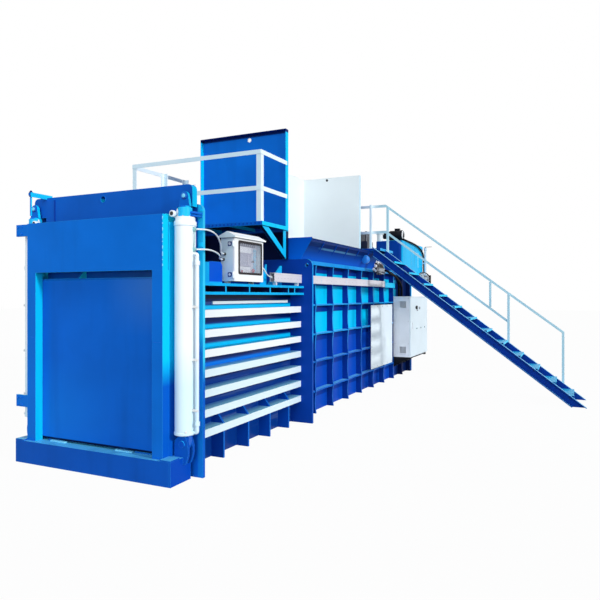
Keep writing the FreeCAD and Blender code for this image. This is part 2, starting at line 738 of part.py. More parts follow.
# Bracket and block that stand beside the control box, and two gussets on the far side of it
box_x0 = BOX_X - BOX_DEPTH
bracket_high = LADDER_TOP + BRACKET_H
bracket = box(box_x0 + 20, box_x0 + 36, BOX_Y0 - 235, BOX_Y0 - 30, LADDER_TOP, bracket_high)
bracket_top = edges_along(bracket, X_AXIS, (-BIG, BOX_Y0 - 31, bracket_high - 1), (BIG, BOX_Y0 - 29, BIG))
bracket = bracket.makeFillet(45, bracket_top)
block = box(box_x0 - 20, box_x0 + 36, BOX_Y0 - 355, BOX_Y0 - 235, LADDER_TOP, LADDER_TOP + BRACKET_H - 8)
roof_gussets = []
for y0, y1 in ROOF_GUSSETS:
    high = LADDER_TOP + ROOF_GUSSET_H
    outline = [(y0, LADDER_TOP), (y1, LADDER_TOP), (y1, high), (y1 - 24, high)]
    roof_gussets.append(prism(outline, "x", GUSSET_X, GUSSET_X + ROOF_GUSSET_T))
parts["top_beams"] = group(both(ladder_beam()), fused(bracket, block), *roof_gussets)

# ---------------------------------------------------------------- press box
rib_stations = [RIB_FIRST + RIB_PITCH * i for i in range(RIB_COUNT)]


def press_plates():
    floor = box(-BOX_HALF, BOX_HALF, PRESS_START, PRESS_END, FLOOR_LOW, FLOOR_TOP)
    wall = box(BOX_HALF, WALL_OUT, PRESS_START, PRESS_END, 0, BOX_TOP)
    cover = box(-BOX_HALF, BOX_HALF, HOPPER_REAR, PRESS_END, ROOF_LOW, ROOF_LOW + ROOF_T)
    throat = box(-BOX_HALF, BOX_HALF, HOPPER_REAR, HOPPER_REAR + 20, ROOF_LOW + ROOF_T, BOX_TOP)
    return group(floor, both(wall), cover, throat)


def edge_plate(place, crossings, out):
    """Plate from the side wall to out, its outer edge hollowed between the crossings.

    place turns (distance from the centreline, distance along the plate) into a point.
    """
    edges = [Part.LineSegment(place(WALL_OUT, crossings[0]), place(out, crossings[0]))]
    for a, b in zip(crossings, crossings[1:]):
        edges.append(Part.Arc(place(out, a), place(out - EDGE_DIP, (a + b) / 2), place(out, b)))
    edges.append(Part.LineSegment(place(out, crossings[-1]), place(WALL_OUT, crossings[-1])))
    edges.append(Part.LineSegment(place(WALL_OUT, crossings[-1]), place(WALL_OUT, crossings[0])))
    return Part.Face(Part.Wire([edge.toShape() for edge in edges]))


def rib(y):
    """Upright rib, welded to the wall from the floor to the top flange."""
    levels = (0.0,) + BELT_LEVELS + (BOX_TOP - TOP_FLANGE_T,)
    face = edge_plate(lambda x, z: V(x, y - RIB_T / 2, z), levels, RIB_OUT)
    return face.extrude(Y_AXIS * RIB_T)


def belt(y0, y1, z):
    """Level stiffener between two ribs."""
    face = edge_plate(lambda x, y: V(x, y, z - BELT_T / 2), (y0, y1), RIB_OUT - BELT_IN)
    return face.extrude(Z_AXIS * BELT_T)


def press_stiffeners():
    """Ribs, belts and the top flange on one side wall."""
    starts = [PRESS_START] + [y + RIB_T / 2 for y in rib_stations]
    ends = [y - RIB_T / 2 for y in rib_stations] + [PRESS_END]
    belts = [belt(y0, y1, z) for y0, y1 in zip(starts, ends) for z in BELT_LEVELS]
    flange = box(WALL_OUT, TOP_FLANGE_OUT, PRESS_START, PRESS_END, BOX_TOP - TOP_FLANGE_T, BOX_TOP)
    return group(*[rib(y) for y in rib_stations], *belts, flange)


def press_end_plate():
    """Rear wall of the press box with the saddle that holds the ram cylinder's tube."""
    plate = box(-RIB_OUT, RIB_OUT, PRESS_END, PRESS_END + END_T, 0, BOX_TOP)
    saddle = box(-SADDLE_HALF, SADDLE_HALF, PRESS_END - SADDLE_T, PRESS_END,
                 RAM_AXIS_Z - SADDLE_HALF, RAM_AXIS_Z + SADDLE_HALF)
    bore = rod(RAM_TUBE_R + SADDLE_FIT, SADDLE_T + END_T, 0, PRESS_END - SADDLE_T, RAM_AXIS_Z, Y_AXIS)
    return fused(plate, saddle).cut(bore)


def rear_frame():
    """Two legs with ties to the press box, the crosshead that takes the ram cylinder's rear pin,
    and the rails and cross rail under the power deck."""
    out = RIB_OUT - REAR_IN
    front = PRESS_END + END_T
    y1 = DECK_END - LEG_IN
    y0 = y1 - LEG
    x0 = RAM_TUBE_R + LEG_GAP
    leg = box(x0, x0 + LEG, y0, y1, 0, BOX_TOP - LEG)
    tie = box(x0, x0 + LEG, front, y0, RAM_AXIS_Z - TIE_H / 2, RAM_AXIS_Z + TIE_H / 2)
    rail = box(out - LEG, out, front, y1, BOX_TOP - LEG, BOX_TOP)
    top = box(-out + LEG, out - LEG, y0, y1, BOX_TOP - LEG, BOX_TOP)
    crosshead = box(-x0, x0, y0, y1, RAM_AXIS_Z - CROSS_HALF, RAM_AXIS_Z + CROSS_HALF)
    lug_x = RAM_EYE_T / 2 + EAR_GAP
    rear_lug = box(lug_x, lug_x + RAM_LUG_T, RAM_PIN_Y - RAM_LUG_NOSE, y0, RAM_AXIS_Z - 80, RAM_AXIS_Z + 80)
    rear_lug = rear_lug.cut(rod(RAM_PIN_R, RAM_LUG_T, lug_x, RAM_PIN_Y, RAM_AXIS_Z, X_AXIS))
    return group(both(leg), both(tie), both(rail), top, fused(crosshead, rear_lug, mirror(rear_lug)))


parts["press_plates"] = press_plates()
parts["press_ribs"] = both(press_stiffeners())
press_bearers = [box(-BOX_HALF, BOX_HALF, y - RIB_T / 2, y + RIB_T / 2, 0, FLOOR_LOW) for y in rib_stations]
parts["floor_bearers"] = group(*[chamber_foot(y) for y in foot_ys],
                               *[both(channel_gusset(y)) for y in foot_ys], *press_bearers)
parts["press_end_plate"] = press_end_plate()
parts["fixed_blade"] = box(-BOX_HALF + 20, BOX_HALF - 20, PRESS_START, PRESS_START + BLADE_T,
                           ROOF_LOW, ROOF_LOW + BLADE_H)
parts["rear_frame"] = rear_frame()
parts["power_deck"] = box(-RIB_OUT, RIB_OUT, HOPPER_REAR + HOPPER_SHEET, DECK_END, BOX_TOP, DECK_TOP)

# ---------------------------------------------------------------- ram
ram_half = BOX_HALF - RAM_GAP
ram_low = FLOOR_TOP + SLIDE_GAP + SHOE_T
ram_high = ROOF_LOW - RAM_GAP
ram_back = RAM_REST + RAM_LENGTH
plate_back = RAM_REST + RAM_PLATE
PISTON_Y = RAM_TUBE_END - 60 - RAM_PISTON_L


def ram_shell():
    """Pressing face and the long open-backed box that closes the hopper's floor behind it."""
    shell = box(-ram_half, ram_half, RAM_REST, ram_back, ram_low, ram_high)
    return shell.cut(box(-ram_half + RAM_SIDE, ram_half - RAM_SIDE, plate_back, ram_back,
                         ram_low + RAM_SIDE, ram_high - RAM_SIDE))


def ram_rod():
    shaft = rod(RAM_ROD_R, PISTON_Y - plate_back, 0, plate_back, RAM_AXIS_Z, Y_AXIS)
    piston = rod(RAM_BORE_R - FIT, RAM_PISTON_L, 0, PISTON_Y, RAM_AXIS_Z, Y_AXIS)
    flange = rod(RAM_ROD_R + 50, 40, 0, plate_back, RAM_AXIS_Z, Y_AXIS)
    return fused(shaft, piston, flange)


def ram_cylinder():
    length = RAM_TUBE_END - RAM_TUBE_FRONT
    body = tube(RAM_TUBE_R, RAM_BORE_R, length, 0, RAM_TUBE_FRONT, RAM_AXIS_Z, Y_AXIS)
    cap = rod(RAM_TUBE_R, 40, 0, RAM_TUBE_END - 40, RAM_AXIS_Z, Y_AXIS)
    half = RAM_EYE_T / 2
    neck = box(-half, half, RAM_TUBE_END, RAM_PIN_Y, RAM_AXIS_Z - RAM_EYE_R, RAM_AXIS_Z + RAM_EYE_R)
    eye = rod(RAM_EYE_R, RAM_EYE_T, -half, RAM_PIN_Y, RAM_AXIS_Z, X_AXIS)
    front = RAM_TUBE_FRONT - RAM_GLAND_L
    gland = tube(RAM_TUBE_R, RAM_ROD_R + FIT, RAM_GLAND_L, 0, front, RAM_AXIS_Z, Y_AXIS)
    body = fused(body, cap, neck, eye, gland)
    return body.cut(rod(RAM_PIN_R, RAM_EYE_T, -half, RAM_PIN_Y, RAM_AXIS_Z, X_AXIS))


parts["ram_shell"] = ram_shell()
parts["ram_blade"] = box(-ram_half + 10, ram_half - 10, RAM_REST - BLADE_T, RAM_REST,
                         ram_high - BLADE_H, ram_high)
shoe = box(SHOE_X - 60, SHOE_X + 60, RAM_REST, ram_back, FLOOR_TOP + SLIDE_GAP, ram_low)
parts["ram_shoes"] = both(shoe)
parts["ram_rod"] = ram_rod()
parts["ram_cylinder"] = ram_cylinder()
pin_half = RAM_EYE_T / 2 + EAR_GAP + RAM_LUG_T
rear_pin = rod(RAM_PIN_R - FIT, 2 * pin_half, -pin_half, RAM_PIN_Y, RAM_AXIS_Z, X_AXIS)
parts["cylinder_pins"] = group(both(headed_pin(LIFT_Y - EAR_OUT, LIFT_Y + EAR_OUT, LIFT_PIN_LOW)), rear_pin)


# ---------------------------------------------------------------- hopper
def hopper_front():
    """Pan-shaped front wall: a plate with a rim folded towards the gate, and a lifting hole."""
    w, t = HOPPER_FRONT_HALF, HOPPER_SHEET
    y0, y1 = MID_FRONT - HOPPER_RIM, MID_FRONT + t
    pan = box(-w, w, y0, y1, BOX_TOP, HOPPER_TOP)
    pan = pan.cut(box(-w + t, w - t, y0, MID_FRONT, BOX_TOP, HOPPER_TOP - t))
    return pan.cut(rod(HOOK_HOLE_R, t, FRONT_HOLE_X, MID_FRONT, HOPPER_TOP - FRONT_HOLE_IN, Y_AXIS))


def hopper_rear():
    w, t = HOPPER_HALF, HOPPER_SHEET
    y0, y1 = HOPPER_REAR, HOPPER_REAR + t
    wall = box(-w - t, w, y0, y1, BOX_TOP, HOPPER_TOP)
    edge = box(w - t, w, y1, y1 + 50, DECK_TOP, HOPPER_TOP)
    top = box(-w - t, w, y1, y1 + 50, HOPPER_TOP - t, HOPPER_TOP)
    wall = fused(wall, edge, top)
    return wall.cut(rod(HOOK_HOLE_R, t, REAR_HOLE_X, y0, HOPPER_TOP - REAR_HOLE_IN, Y_AXIS))


def hopper_left():
    """Left wall with upright stiffeners, standing on a ledge that closes the gap to the side."""
    w, t = HOPPER_HALF, HOPPER_SHEET
    y0 = MID_FRONT + t
    wall = box(-w - t, -w, y0, HOPPER_REAR, BOX_TOP, HOPPER_TOP)
    ledge = box(-WALL_OUT - 60, -w - t, PRESS_START, HOPPER_REAR, BOX_TOP, DECK_TOP)
    ribs = [box(-w - t - 60, -w - t, y, y + t, DECK_TOP, HOPPER_TOP) for y in LEFT_RIBS]
    return group(fused(wall, *ribs), ledge)


def hollow(profile, y0, y1):
    """The inside of a closed sheet section whose outline is (x, z) points."""
    corners = [V(x, y0, z) for x, z in profile]
    inside = Part.Face(Part.makePolygon(corners + corners[:1])).makeOffset2D(-HOPPER_SHEET)
    return inside.extrude(Y_AXIS * (y1 - y0))


def loading_lip():
    """Box-section lip leaning out over the +X side, its front end plate and a sensor cap."""
    corner = V(TOP_FLANGE_OUT, 0, BOX_TOP)
    lip_low = V(LIP_X, 0, LIP_Z - LIP_EDGE)
    profile = [(BOX_HALF, BOX_TOP), (corner.x, corner.z), (LIP_X, lip_low.z),
               (LIP_X, LIP_Z), (LIP_X - 22, LIP_Z)]
    lip = prism(profile, "y", LIP_START, LIP_END).cut(hollow(profile, LIP_START, LIP_END - HOPPER_SHEET))
    end = prism([(BOX_HALF - 60, BOX_TOP), (corner.x, corner.z), (LIP_X + 22, LIP_Z - LIP_EDGE - 6),
                 (LIP_X + 22, LIP_Z + 8), (BOX_HALF - 60, LIP_Z + 8)], "y", LIP_START - 12, LIP_START)
    skin = lip_low - corner
    normal = V(skin.z, 0, -skin.x).normalize()
    middle = corner + skin * CAP_ON_SKIN
    cap = rod(CAP_R, CAP_L + 4, middle.x - 4 * normal.x, CAP_Y, middle.z - 4 * normal.z, normal)
    return fused(lip, end, cap)


parts["hopper_front"] = hopper_front()
parts["hopper_rear"] = hopper_rear()
parts["hopper_left"] = hopper_left()
parts["loading_lip"] = loading_lip()

# ---------------------------------------------------------------- platform at the hopper
plat_back = MID_FRONT - HOPPER_RIM
deck_low = PLAT_TOP - PLAT_T


def platform_deck():
    """Deck plate on an angle frame, with a side step beyond the hopper's front wall."""
    t = RAIL_T
    deck = box(PLAT_LEFT, PLAT_RIGHT, PLAT_FRONT, plat_back, PLAT_TOP - t, PLAT_TOP)
    edge = box(PLAT_LEFT, PLAT_RIGHT, PLAT_FRONT, plat_back, deck_low, PLAT_TOP - t)
    edge = edge.cut(box(PLAT_LEFT + t, PLAT_RIGHT - t, PLAT_FRONT + t, plat_back - t, deck_low, PLAT_TOP - t))
    joists = [box(x, x + t, PLAT_FRONT + t, plat_back - t, deck_low, PLAT_TOP - t) for x in PLAT_JOISTS]
    step = box(PLAT_LEFT, -HOPPER_FRONT_HALF, plat_back, SIDE_RAIL_END + 20, deck_low, PLAT_TOP)
    return group(fused(deck, edge, *joists), step)


def platform_brace():
    """Slanting strut from the deck's front edge to the mid plate, and an upright."""
    x1 = HOPPER_FRONT_HALF
    x0 = x1 - BRACE_W
    y0, y1 = PLAT_FRONT + 30, plat_back
    strut = prism([(y0, deck_low), (y0 + 1.4 * BRACE_W, deck_low), (y1, BOX_TOP + BRACE_W), (y1, BOX_TOP)],
                  "x", x0, x1)
    upright = box(x0, x1, y1 - 10, y1, BOX_TOP, deck_low)
    return group(strut, upright.cut(strut))


def angle_post(x, y, sx, sy):
    """Angle post with its heel at (x, y), one flat running sx along X and one sy along Y."""
    def span(a, b):
        return min(a, b), max(a, b)
    flat_x = box(*span(x, x + sx * POST_FLAT), *span(y, y + sy * RAIL_T), PLAT_TOP, RAIL_TOP)
    flat_y = box(*span(x, x + sx * RAIL_T), *span(y, y + sy * POST_FLAT), PLAT_TOP, RAIL_TOP)
    return fused(flat_x, flat_y)


def platform_rails():
    right = HOPPER_FRONT_HALF
    left = PLAT_LEFT + 12
    y = PLAT_FRONT + 12
    solids = [angle_post(right, y, -1, 1), angle_post(left, y, 1, 1), angle_post(left, plat_back, 1, -1),
              angle_post(left, SIDE_RAIL_END, 1, -1)]
    for top in (RAIL_TOP, RAIL_MID):
        low = top - RAIL_W
        solids.append(box(left, right, y - RAIL_T, y, low, top))
        solids.append(box(right, right + RAIL_T, y, plat_back + 30, low, top))
        solids.append(box(left - RAIL_T, left, y, SIDE_RAIL_END, low, top))
    return solids


parts["platform_deck"] = group(platform_deck(), both(platform_brace()))

# ---------------------------------------------------------------- stairs
slope = STAIR_TOP_Z / (STAIR_FOOT_X - STAIR_TOP_X)
land_x0 = HOPPER_HALF + 20


def stair_z(x):
    """Height of the stringers' top edge at x."""
    return STAIR_TOP_Z - slope * (x - STAIR_TOP_X)


def stringer(y0, y1, flange_side):
    """Channel stringer: a sloping web, a top flange and a bottom flange."""
    x0, x1 = STAIR_TOP_X, STAIR_FOOT_X
    foot_back = x1 - STRINGER_H / slope
    low_z = STAIR_TOP_Z - STRINGER_H
    t = STRINGER_T
    web = prism([(x0, STAIR_TOP_Z), (x0, low_z), (foot_back, 0.0), (x1, 0.0)], "y", y0, y1)
    f0, f1 = (y1, y1 + STRINGER_FLANGE) if flange_side > 0 else (y0 - STRINGER_FLANGE, y0)
    top = prism([(x0, STAIR_TOP_Z), (x0, STAIR_TOP_Z - t), (x1 - t / slope, 0.0), (x1, 0.0)], "y", f0, f1)
    outline = [(x0, low_z + t), (x0, low_z), (foot_back, 0.0), (foot_back + t / slope, 0.0)]
    bottom = prism(outline, "y", f0, f1)
    return fused(web, top, bottom)


def stair_landing():
    y0, y1 = LIP_END + 15, LANDING_END
    low = LANDING_TOP - LANDING_T
    deck = box(land_x0, STAIR_TOP_X, y0, y1, low, LANDING_TOP)
    deck = deck.cut(box(land_x0 + 8, STAIR_TOP_X - 8, y0 + 8, y1 - 8, low, LANDING_TOP - 6))
    legs = [box(x, x + 50, y, y + 50, DECK_TOP, low)
            for x, y in ((land_x0, HOPPER_REAR + 60), (land_x0, y1 - 50), (RIB_OUT - 60, y1 - 50))]
    return group(deck, *legs)


def tread(x):
    z = stair_z(x) - TREAD_DROP
    y0, y1 = STAIR_NEAR + STRINGER_T, STAIR_FAR - STRINGER_T
    step = box(x - TREAD_W / 2, x + TREAD_W / 2, y0, y1, z - TREAD_T, z)
    return step.cut(box(x - TREAD_W / 2 + 5, x + TREAD_W / 2 - 5, y0, y1, z - TREAD_T, z - 5))


def stair_rails():
    """Posts on the far stringer and the landing, with a top rail and a middle rail."""
    y0 = STAIR_FAR + STRINGER_FLANGE
    y1 = y0 + STAIR_POST
    half = STAIR_POST / 2
    solids = [box(x - half, x + half, y0, y1, stair_z(x) - 110, stair_z(x) + STAIR_RAIL_H - 20)
              for x in STAIR_POSTS]
    solids.append(box(LANDING_POST_X - half, LANDING_POST_X + half, y0, y1,
                      LANDING_TOP, LANDING_TOP + STAIR_RAIL_H + 10))
    x0 = STAIR_TOP_X - 20
    ends = {STAIR_RAIL_H: STAIR_POSTS[-1] + half, STAIR_RAIL_MID: STAIR_POSTS[-2] + half}
    for rise, x1 in ends.items():
        z0, z1 = stair_z(x0) + rise, stair_z(x1) + rise
        outline = [(x0, z0 - STAIR_RAIL_W), (x1, z1 - STAIR_RAIL_W), (x1, z1), (x0, z0)]
        sloping = prism(outline, "y", y1, y1 + RAIL_T)
        level = box(LANDING_POST_X - half - RAIL_PAST, x0, y1, y1 + RAIL_T, z0 - STAIR_RAIL_W, z0)
        solids.extend((sloping, level))
    x, rise = SHORT_POST, STAIR_RAIL_H - STAIR_RAIL_W
    solids.append(box(x - half, x + half, y1 - RAIL_T, y1, stair_z(x) + STAIR_RAIL_MID, stair_z(x) + rise))
    return solids


parts["stair_frame"] = group(stringer(STAIR_NEAR, STAIR_NEAR + STRINGER_T, -1),
                             stringer(STAIR_FAR - STRINGER_T, STAIR_FAR, 1), stair_landing())
tread_step = (TREAD_LAST_X - TREAD_FIRST_X) / (TREADS - 1)
parts["stair_treads"] = group(*[tread(TREAD_FIRST_X + tread_step * i) for i in range(TREADS)])
parts["handrails"] = group(*platform_rails(), *stair_rails())


# ---------------------------------------------------------------- cable tray and sign panel
def tray(y0, y1):
    outer = box(RIB_OUT, RIB_OUT + TRAY_W, y0, y1, TRAY_Z, TRAY_Z + TRAY_H)
    inside = box(RIB_OUT + SHEET, RIB_OUT + TRAY_W - SHEET, y0, y1, TRAY_Z + SHEET, TRAY_Z + TRAY_H - SHEET)
    return outer.cut(inside)


tray_feet = [box(RIB_OUT + 10, RIB_OUT + 50, y, y + 30, LADDER_TOP, TRAY_Z) for y in TRAY_FEET]
end_box = box(RIB_OUT, RIB_OUT + TRAY_W + 10, TRAY_END, TRAY_END + END_BOX_L,
              TRAY_Z - 12, TRAY_Z + TRAY_H - 22)
parts["cable_tray"] = group(tray(TRAY_START, MID_FRONT), tray(PRESS_START, TRAY_END), *tray_feet, end_box)
parts["sign_panel"] = box(RIB_OUT, RIB_OUT + 5, SIGN_Y, SIGN_Y + SIGN_W, SIGN_Z, SIGN_Z + SIGN_H)


# ---------------------------------------------------------------- hinges of the two cabinets
def hinge_fixed(x_wall, x, y, zs, side):
    """Leaf, lower knuckle and pin of each hinge; side is the way from the pin to the case."""
    solids = []
    for z in zs:
        y_case = y + side * (HINGE_R + 0.5)
        y_leaf = y_case - side * 4
        leaf = box(x_wall - 30, x, min(y_case, y_leaf), max(y_case, y_leaf), z - 30, z - 1)
        knuckle = rod(HINGE_R, 29, x, y, z - 30, Z_AXIS)
        pin = rod(HINGE_PIN_R - FIT, 59, x, y, z - 30, Z_AXIS)
        solids.append(fused(leaf, knuckle, pin))
    return solids


def hinge_moving(x, x_out, y, zs, side):
    """Arm and upper knuckle of each hinge, bored for the pin."""
    solids = []
    for z in zs:
        y_door = y + side * (HINGE_R + 1.5)
        arm = box(x, x_out, min(y, y_door), max(y, y_door), z + 0.5, z + 29)
        arm = arm.fuse(rod(HINGE_R, 28.5, x, y, z + 0.5, Z_AXIS))
        solids.append(arm.cut(rod(HINGE_PIN_R, 30, x, y, z, Z_AXIS)))
    return solids


def hinge_clearance(x, y, zs):
    return group(*[rod(HINGE_R + 0.6, 31.2, x, y, z - 30.9, Z_AXIS) for z in zs])


# ---------------------------------------------------------------- control box
bx0, bx1 = BOX_X - BOX_DEPTH, BOX_X
by0, by1 = BOX_Y0, BOX_Y0 + BOX_W
bz0, bz1 = BOX_Z0, BOX_Z0 + BOX_H
case_x1 = bx1 - BOX_DOOR_T
panel_x = case_x1 - PANEL_IN
box_pin = (case_x1 + BOX_DOOR_T / 2, by0 - HINGE_R - 0.5)
box_hinges = (bz0 + 60, bz1 - 60)


def control_box_case():
    case = box(bx0, case_x1, by0, by1, bz0, bz1)
    case = case.cut(box(bx0 + SHEET, case_x1, by0 + SHEET, by1 - SHEET, bz0 + SHEET, bz1 - SHEET))
    pads = [box(bx0 + 20, bx0 + 60, y, y + 40, LADDER_TOP, bz0) for y in (by0 + 30, by1 - 70)]
    over, eave = ROOF_OVER, bz1 + 14
    ridge = (bx0 + bx1) / 2 + 8
    roof = prism([(bx0 - over, bz1), (bx1 + over, bz1), (bx1 + over, eave), (ridge, bz1 + ROOF_RISE),
                  (bx0 - over, eave)], "y", by0 - over, by1 + over)
    return fused(case, roof, *pads, *hinge_fixed(case_x1, box_pin[0], box_pin[1], box_hinges, 1))


WIN = (by0 + 70.0, by1 - 30.0, bz0 + 72.0, bz1 - 24.0)


def control_box_door():
    x0 = case_x1 + SLIDE_GAP
    door = box(x0, bx1, by0, by1, bz0 + 1, bz1 - 1)
    door = door.cut(box(x0, bx1, *WIN))
    door = door.cut(hinge_clearance(box_pin[0], box_pin[1], box_hinges))
    return fused(door, *hinge_moving(box_pin[0], bx1, box_pin[1], box_hinges, 1))


button_z = bz0 + 105.0
button_ys = {"start": by0 + 130.0, "stop": by0 + 220.0}
side_y = by0 + SIDE_ROW
estop_z = bz0 + 115.0
select_z = bz0 + 210.0
lamp_z = bz0 + 290.0


def control_panel():
    """Inner panel with the collars that guide the buttons, and a lamp."""
    plate = box(panel_x - SHEET, panel_x, by0 + SHEET, by1 - SHEET, bz0 + SHEET, bz1 - SHEET)
    bore = BUTTON_R + BUTTON_GAP
    collars = [tube(BEZEL_R, bore, 8, panel_x, y, button_z, X_AXIS) for y in button_ys.values()]
    collars += [tube(BEZEL_R, bore, 8, panel_x, side_y, z, X_AXIS) for z in (estop_z, select_z)]
    return fused(plate, *collars, rod(BEZEL_R, 12, panel_x, side_y, lamp_z, X_AXIS))


def emergency_stop():
    x = panel_x + BUTTON_TRAVEL + BUTTON_GAP
    stem = rod(BUTTON_R, 10, x, side_y, estop_z, X_AXIS)
    cap = rod(BUTTON_R + 9, 12, x + 10, side_y, estop_z, X_AXIS)
    rim = [e for e in cap.Edges if abs(e.CenterOfMass.x - x - 22) < 1 and e.Length > 30]
    return fused(stem, cap.makeFillet(4, rim))


def selector_switch():
    x = panel_x + BUTTON_GAP
    knob = rod(BUTTON_R, 16, x, side_y, select_z, X_AXIS)
    grip = box(x + 16, x + 26, side_y - 4, side_y + 4, select_z - 14, select_z + 14)
    return fused(knob, grip)


parts["control_box_case"] = control_box_case()
parts["control_box_door"] = control_box_door()
parts["control_box_window"] = box(bx1 - 11, bx1 - 7, *WIN)
parts["control_panel"] = control_panel()
parts["control_screen"] = box(panel_x, panel_x + 9, by0 + 85, by0 + 330, bz0 + 165, bz0 + 330)
for name, y in button_ys.items():
    parts[name + "_button"] = rod(BUTTON_R, 9, panel_x + BUTTON_TRAVEL + BUTTON_GAP, y, button_z, X_AXIS)
parts["emergency_stop"] = emergency_stop()
parts["selector_switch"] = selector_switch()

# ---------------------------------------------------------------- electrical cabinet
cab_x1 = CAB_X - CAB_DOOR_T
cab_pin = (cab_x1 + CAB_DOOR_T / 2, CAB_Y1 + HINGE_R + 0.5)
cab_hinges = (CAB_Z0 + 160, (CAB_Z0 + CAB_TOP) / 2, CAB_TOP - 160)
VENT_ZS = (CAB_Z0 + 60, CAB_TOP - 60 - VENT_W)
vent_x = (RIB_OUT + CAB_X) / 2 - VENT_W / 2 + 20


def vent_grille(z):
    """Louvred grille on the cabinet's -Y side."""
    rim = 12
    frame = box(vent_x, vent_x + VENT_W, CAB_Y0 - 10, CAB_Y0, z, z + VENT_W)
    x0, x1 = vent_x + rim, vent_x + VENT_W - rim
    frame = frame.cut(box(x0, x1, CAB_Y0 - 10, CAB_Y0, z + rim, z + VENT_W - rim))
    slats = [box(x0, x1, CAB_Y0 - 8, CAB_Y0, z + 18 + 18 * k, z + 26 + 18 * k) for k in range(VENT_SLATS)]
    return fused(frame, *slats)


def cabinet_case():
    case = box(RIB_OUT, cab_x1, CAB_Y0, CAB_Y1, CAB_Z0, CAB_TOP)
    inside = box(RIB_OUT + SHEET, cab_x1, CAB_Y0 + SHEET, CAB_Y1 - SHEET, CAB_Z0 + SHEET, CAB_TOP - SHEET)
    case = case.cut(inside)
    for z in VENT_ZS:
        x0, x1 = vent_x + 12, vent_x + VENT_W - 12
        case = case.cut(box(x0, x1, CAB_Y0, CAB_Y0 + SHEET, z + 12, z + VENT_W - 12))
    lid = box(RIB_OUT, CAB_X + 12, CAB_Y0 - 8, CAB_Y1 + 8, CAB_TOP, CAB_TOP + LID_T)
    return fused(case, lid, *[vent_grille(z) for z in VENT_ZS],
                 *hinge_fixed(cab_x1, cab_pin[0], cab_pin[1], cab_hinges, -1))


def cabinet_door():
    door = box(cab_x1 + SLIDE_GAP, CAB_X, CAB_Y0, CAB_Y1, CAB_Z0 + 1, CAB_TOP - 1)
    door = door.cut(hinge_clearance(cab_pin[0], cab_pin[1], cab_hinges))
    lamps = [rod(14, 10, CAB_X, CAB_Y0 + d, LAMP_Z, X_AXIS) for d in LAMP_IN]
    plate = box(CAB_X, CAB_X + 4, SWITCH_Y - 38, SWITCH_Y + 38, SWITCH_Z - 38, SWITCH_Z + 38)
    return fused(door, plate, *lamps, *hinge_moving(cab_pin[0], CAB_X, cab_pin[1], cab_hinges, -1))


def main_switch():
    x = CAB_X + 4 + BUTTON_GAP
    dial = rod(24, 16, x, SWITCH_Y, SWITCH_Z, X_AXIS)
    grip = box(x + 8, x + 30, SWITCH_Y - 8, SWITCH_Y + 8, SWITCH_Z - 34, SWITCH_Z + 34)
    return fused(dial, grip)


def cabinet_bracket(y):
    outline = [(RIB_OUT, CAB_Z0), (CAB_X - 40, CAB_Z0), (CAB_X - 40, CAB_Z0 - 22), (RIB_OUT, CAB_Z0 - 190)]
    return prism(outline, "y", y - RIB_T / 2, y + RIB_T / 2)


parts["cabinet_case"] = group(cabinet_case(), *[cabinet_bracket(y) for y in rib_stations[6:8]])
parts["cabinet_door"] = cabinet_door()
parts["main_switch"] = main_switch()

# ---------------------------------------------------------------- power unit
tank_top = DECK_TOP + TANK_H
motor_z = tank_top + MOTOR_R + 20


def oil_tank():
    low = DECK_TOP + TANK_FOOT
    tank = box(TANK_X0, TANK_X1, TANK_Y0, TANK_Y1, low, tank_top)
    tank = tank.makeFillet(TANK_R, edges_along(tank, Z_AXIS, *ALL))
    rim = [e for e in tank.Edges if e.BoundBox.ZMin > tank_top - 1e-3]
    tank = tank.makeFillet(18, rim)
    w = TANK_WALL
    inside = box(TANK_X0 + w, TANK_X1 - w, TANK_Y0 + w, TANK_Y1 - w, low + w, tank_top - w - 3)
    tank = tank.cut(inside.makeFillet(TANK_R - w, edges_along(inside, Z_AXIS, *ALL)))
    feet = [box(TANK_X0 + 60, TANK_X1 - 60, y, y + 80, DECK_TOP, low) for y in (TANK_Y0 + 120, TANK_Y1 - 200)]
    return fused(tank, *feet)


def pump_set():
    """Finned motor with its fan cowl on one end and the pump on the other, axis along X."""
    core = rod(MOTOR_R - 14, MOTOR_L, MOTOR_X, MOTOR_Y, motor_z, X_AXIS)
    fins = [rod(MOTOR_R, 8, MOTOR_X + 30 + FIN_PITCH * k, MOTOR_Y, motor_z, X_AXIS) for k in range(FINS)]
    foot = box(MOTOR_X + 30, MOTOR_X + MOTOR_L - 30, MOTOR_Y - 70, MOTOR_Y + 70, tank_top, motor_z - 40)
    x1 = MOTOR_X + MOTOR_L
    cowl = rod(MOTOR_R + 6, COWL_L, x1, MOTOR_Y, motor_z, X_AXIS)
    rim = [e for e in cowl.Edges if abs(e.CenterOfMass.x - x1 - COWL_L) < 1 and e.Length > 60]
    cowl = cowl.makeFillet(22, rim)
    flange = rod(84, 24, MOTOR_X - 24, MOTOR_Y, motor_z, X_AXIS)
    pump = rod(62, 96, MOTOR_X - 120, MOTOR_Y, motor_z, X_AXIS)
    return fused(core, foot, cowl, flange, pump, *fins)


def valve_manifold():
    """Valve block on its stand behind the hopper, with two rows of solenoid coils."""
    x0, x1 = MANIFOLD_X
    y0, y1 = MANIFOLD_Y, MANIFOLD_Y + MANIFOLD_L
    top = DECK_TOP + STAND_H
    legs = [box(x, x + 40, y, y + 40, DECK_TOP, top) for x in (x0, x1 - 40) for y in (y0, y1 - 40)]
    shelf = box(x0, x1, y0, y1, top, top + 12)
    block_top = top + 12 + BLOCK_H
    manifold_block = box(x0 + 20, x1 - 20, y0 + 20, y1 - 20, top + 12, block_top)
    coils = [rod(22, COIL_H, x, y0 + 60 + COIL_PITCH * k, block_top, Z_AXIS)
             for x in (x0 + 60, x1 - 60) for k in range(4)]
    return group(shelf, manifold_block, *legs, *coils)


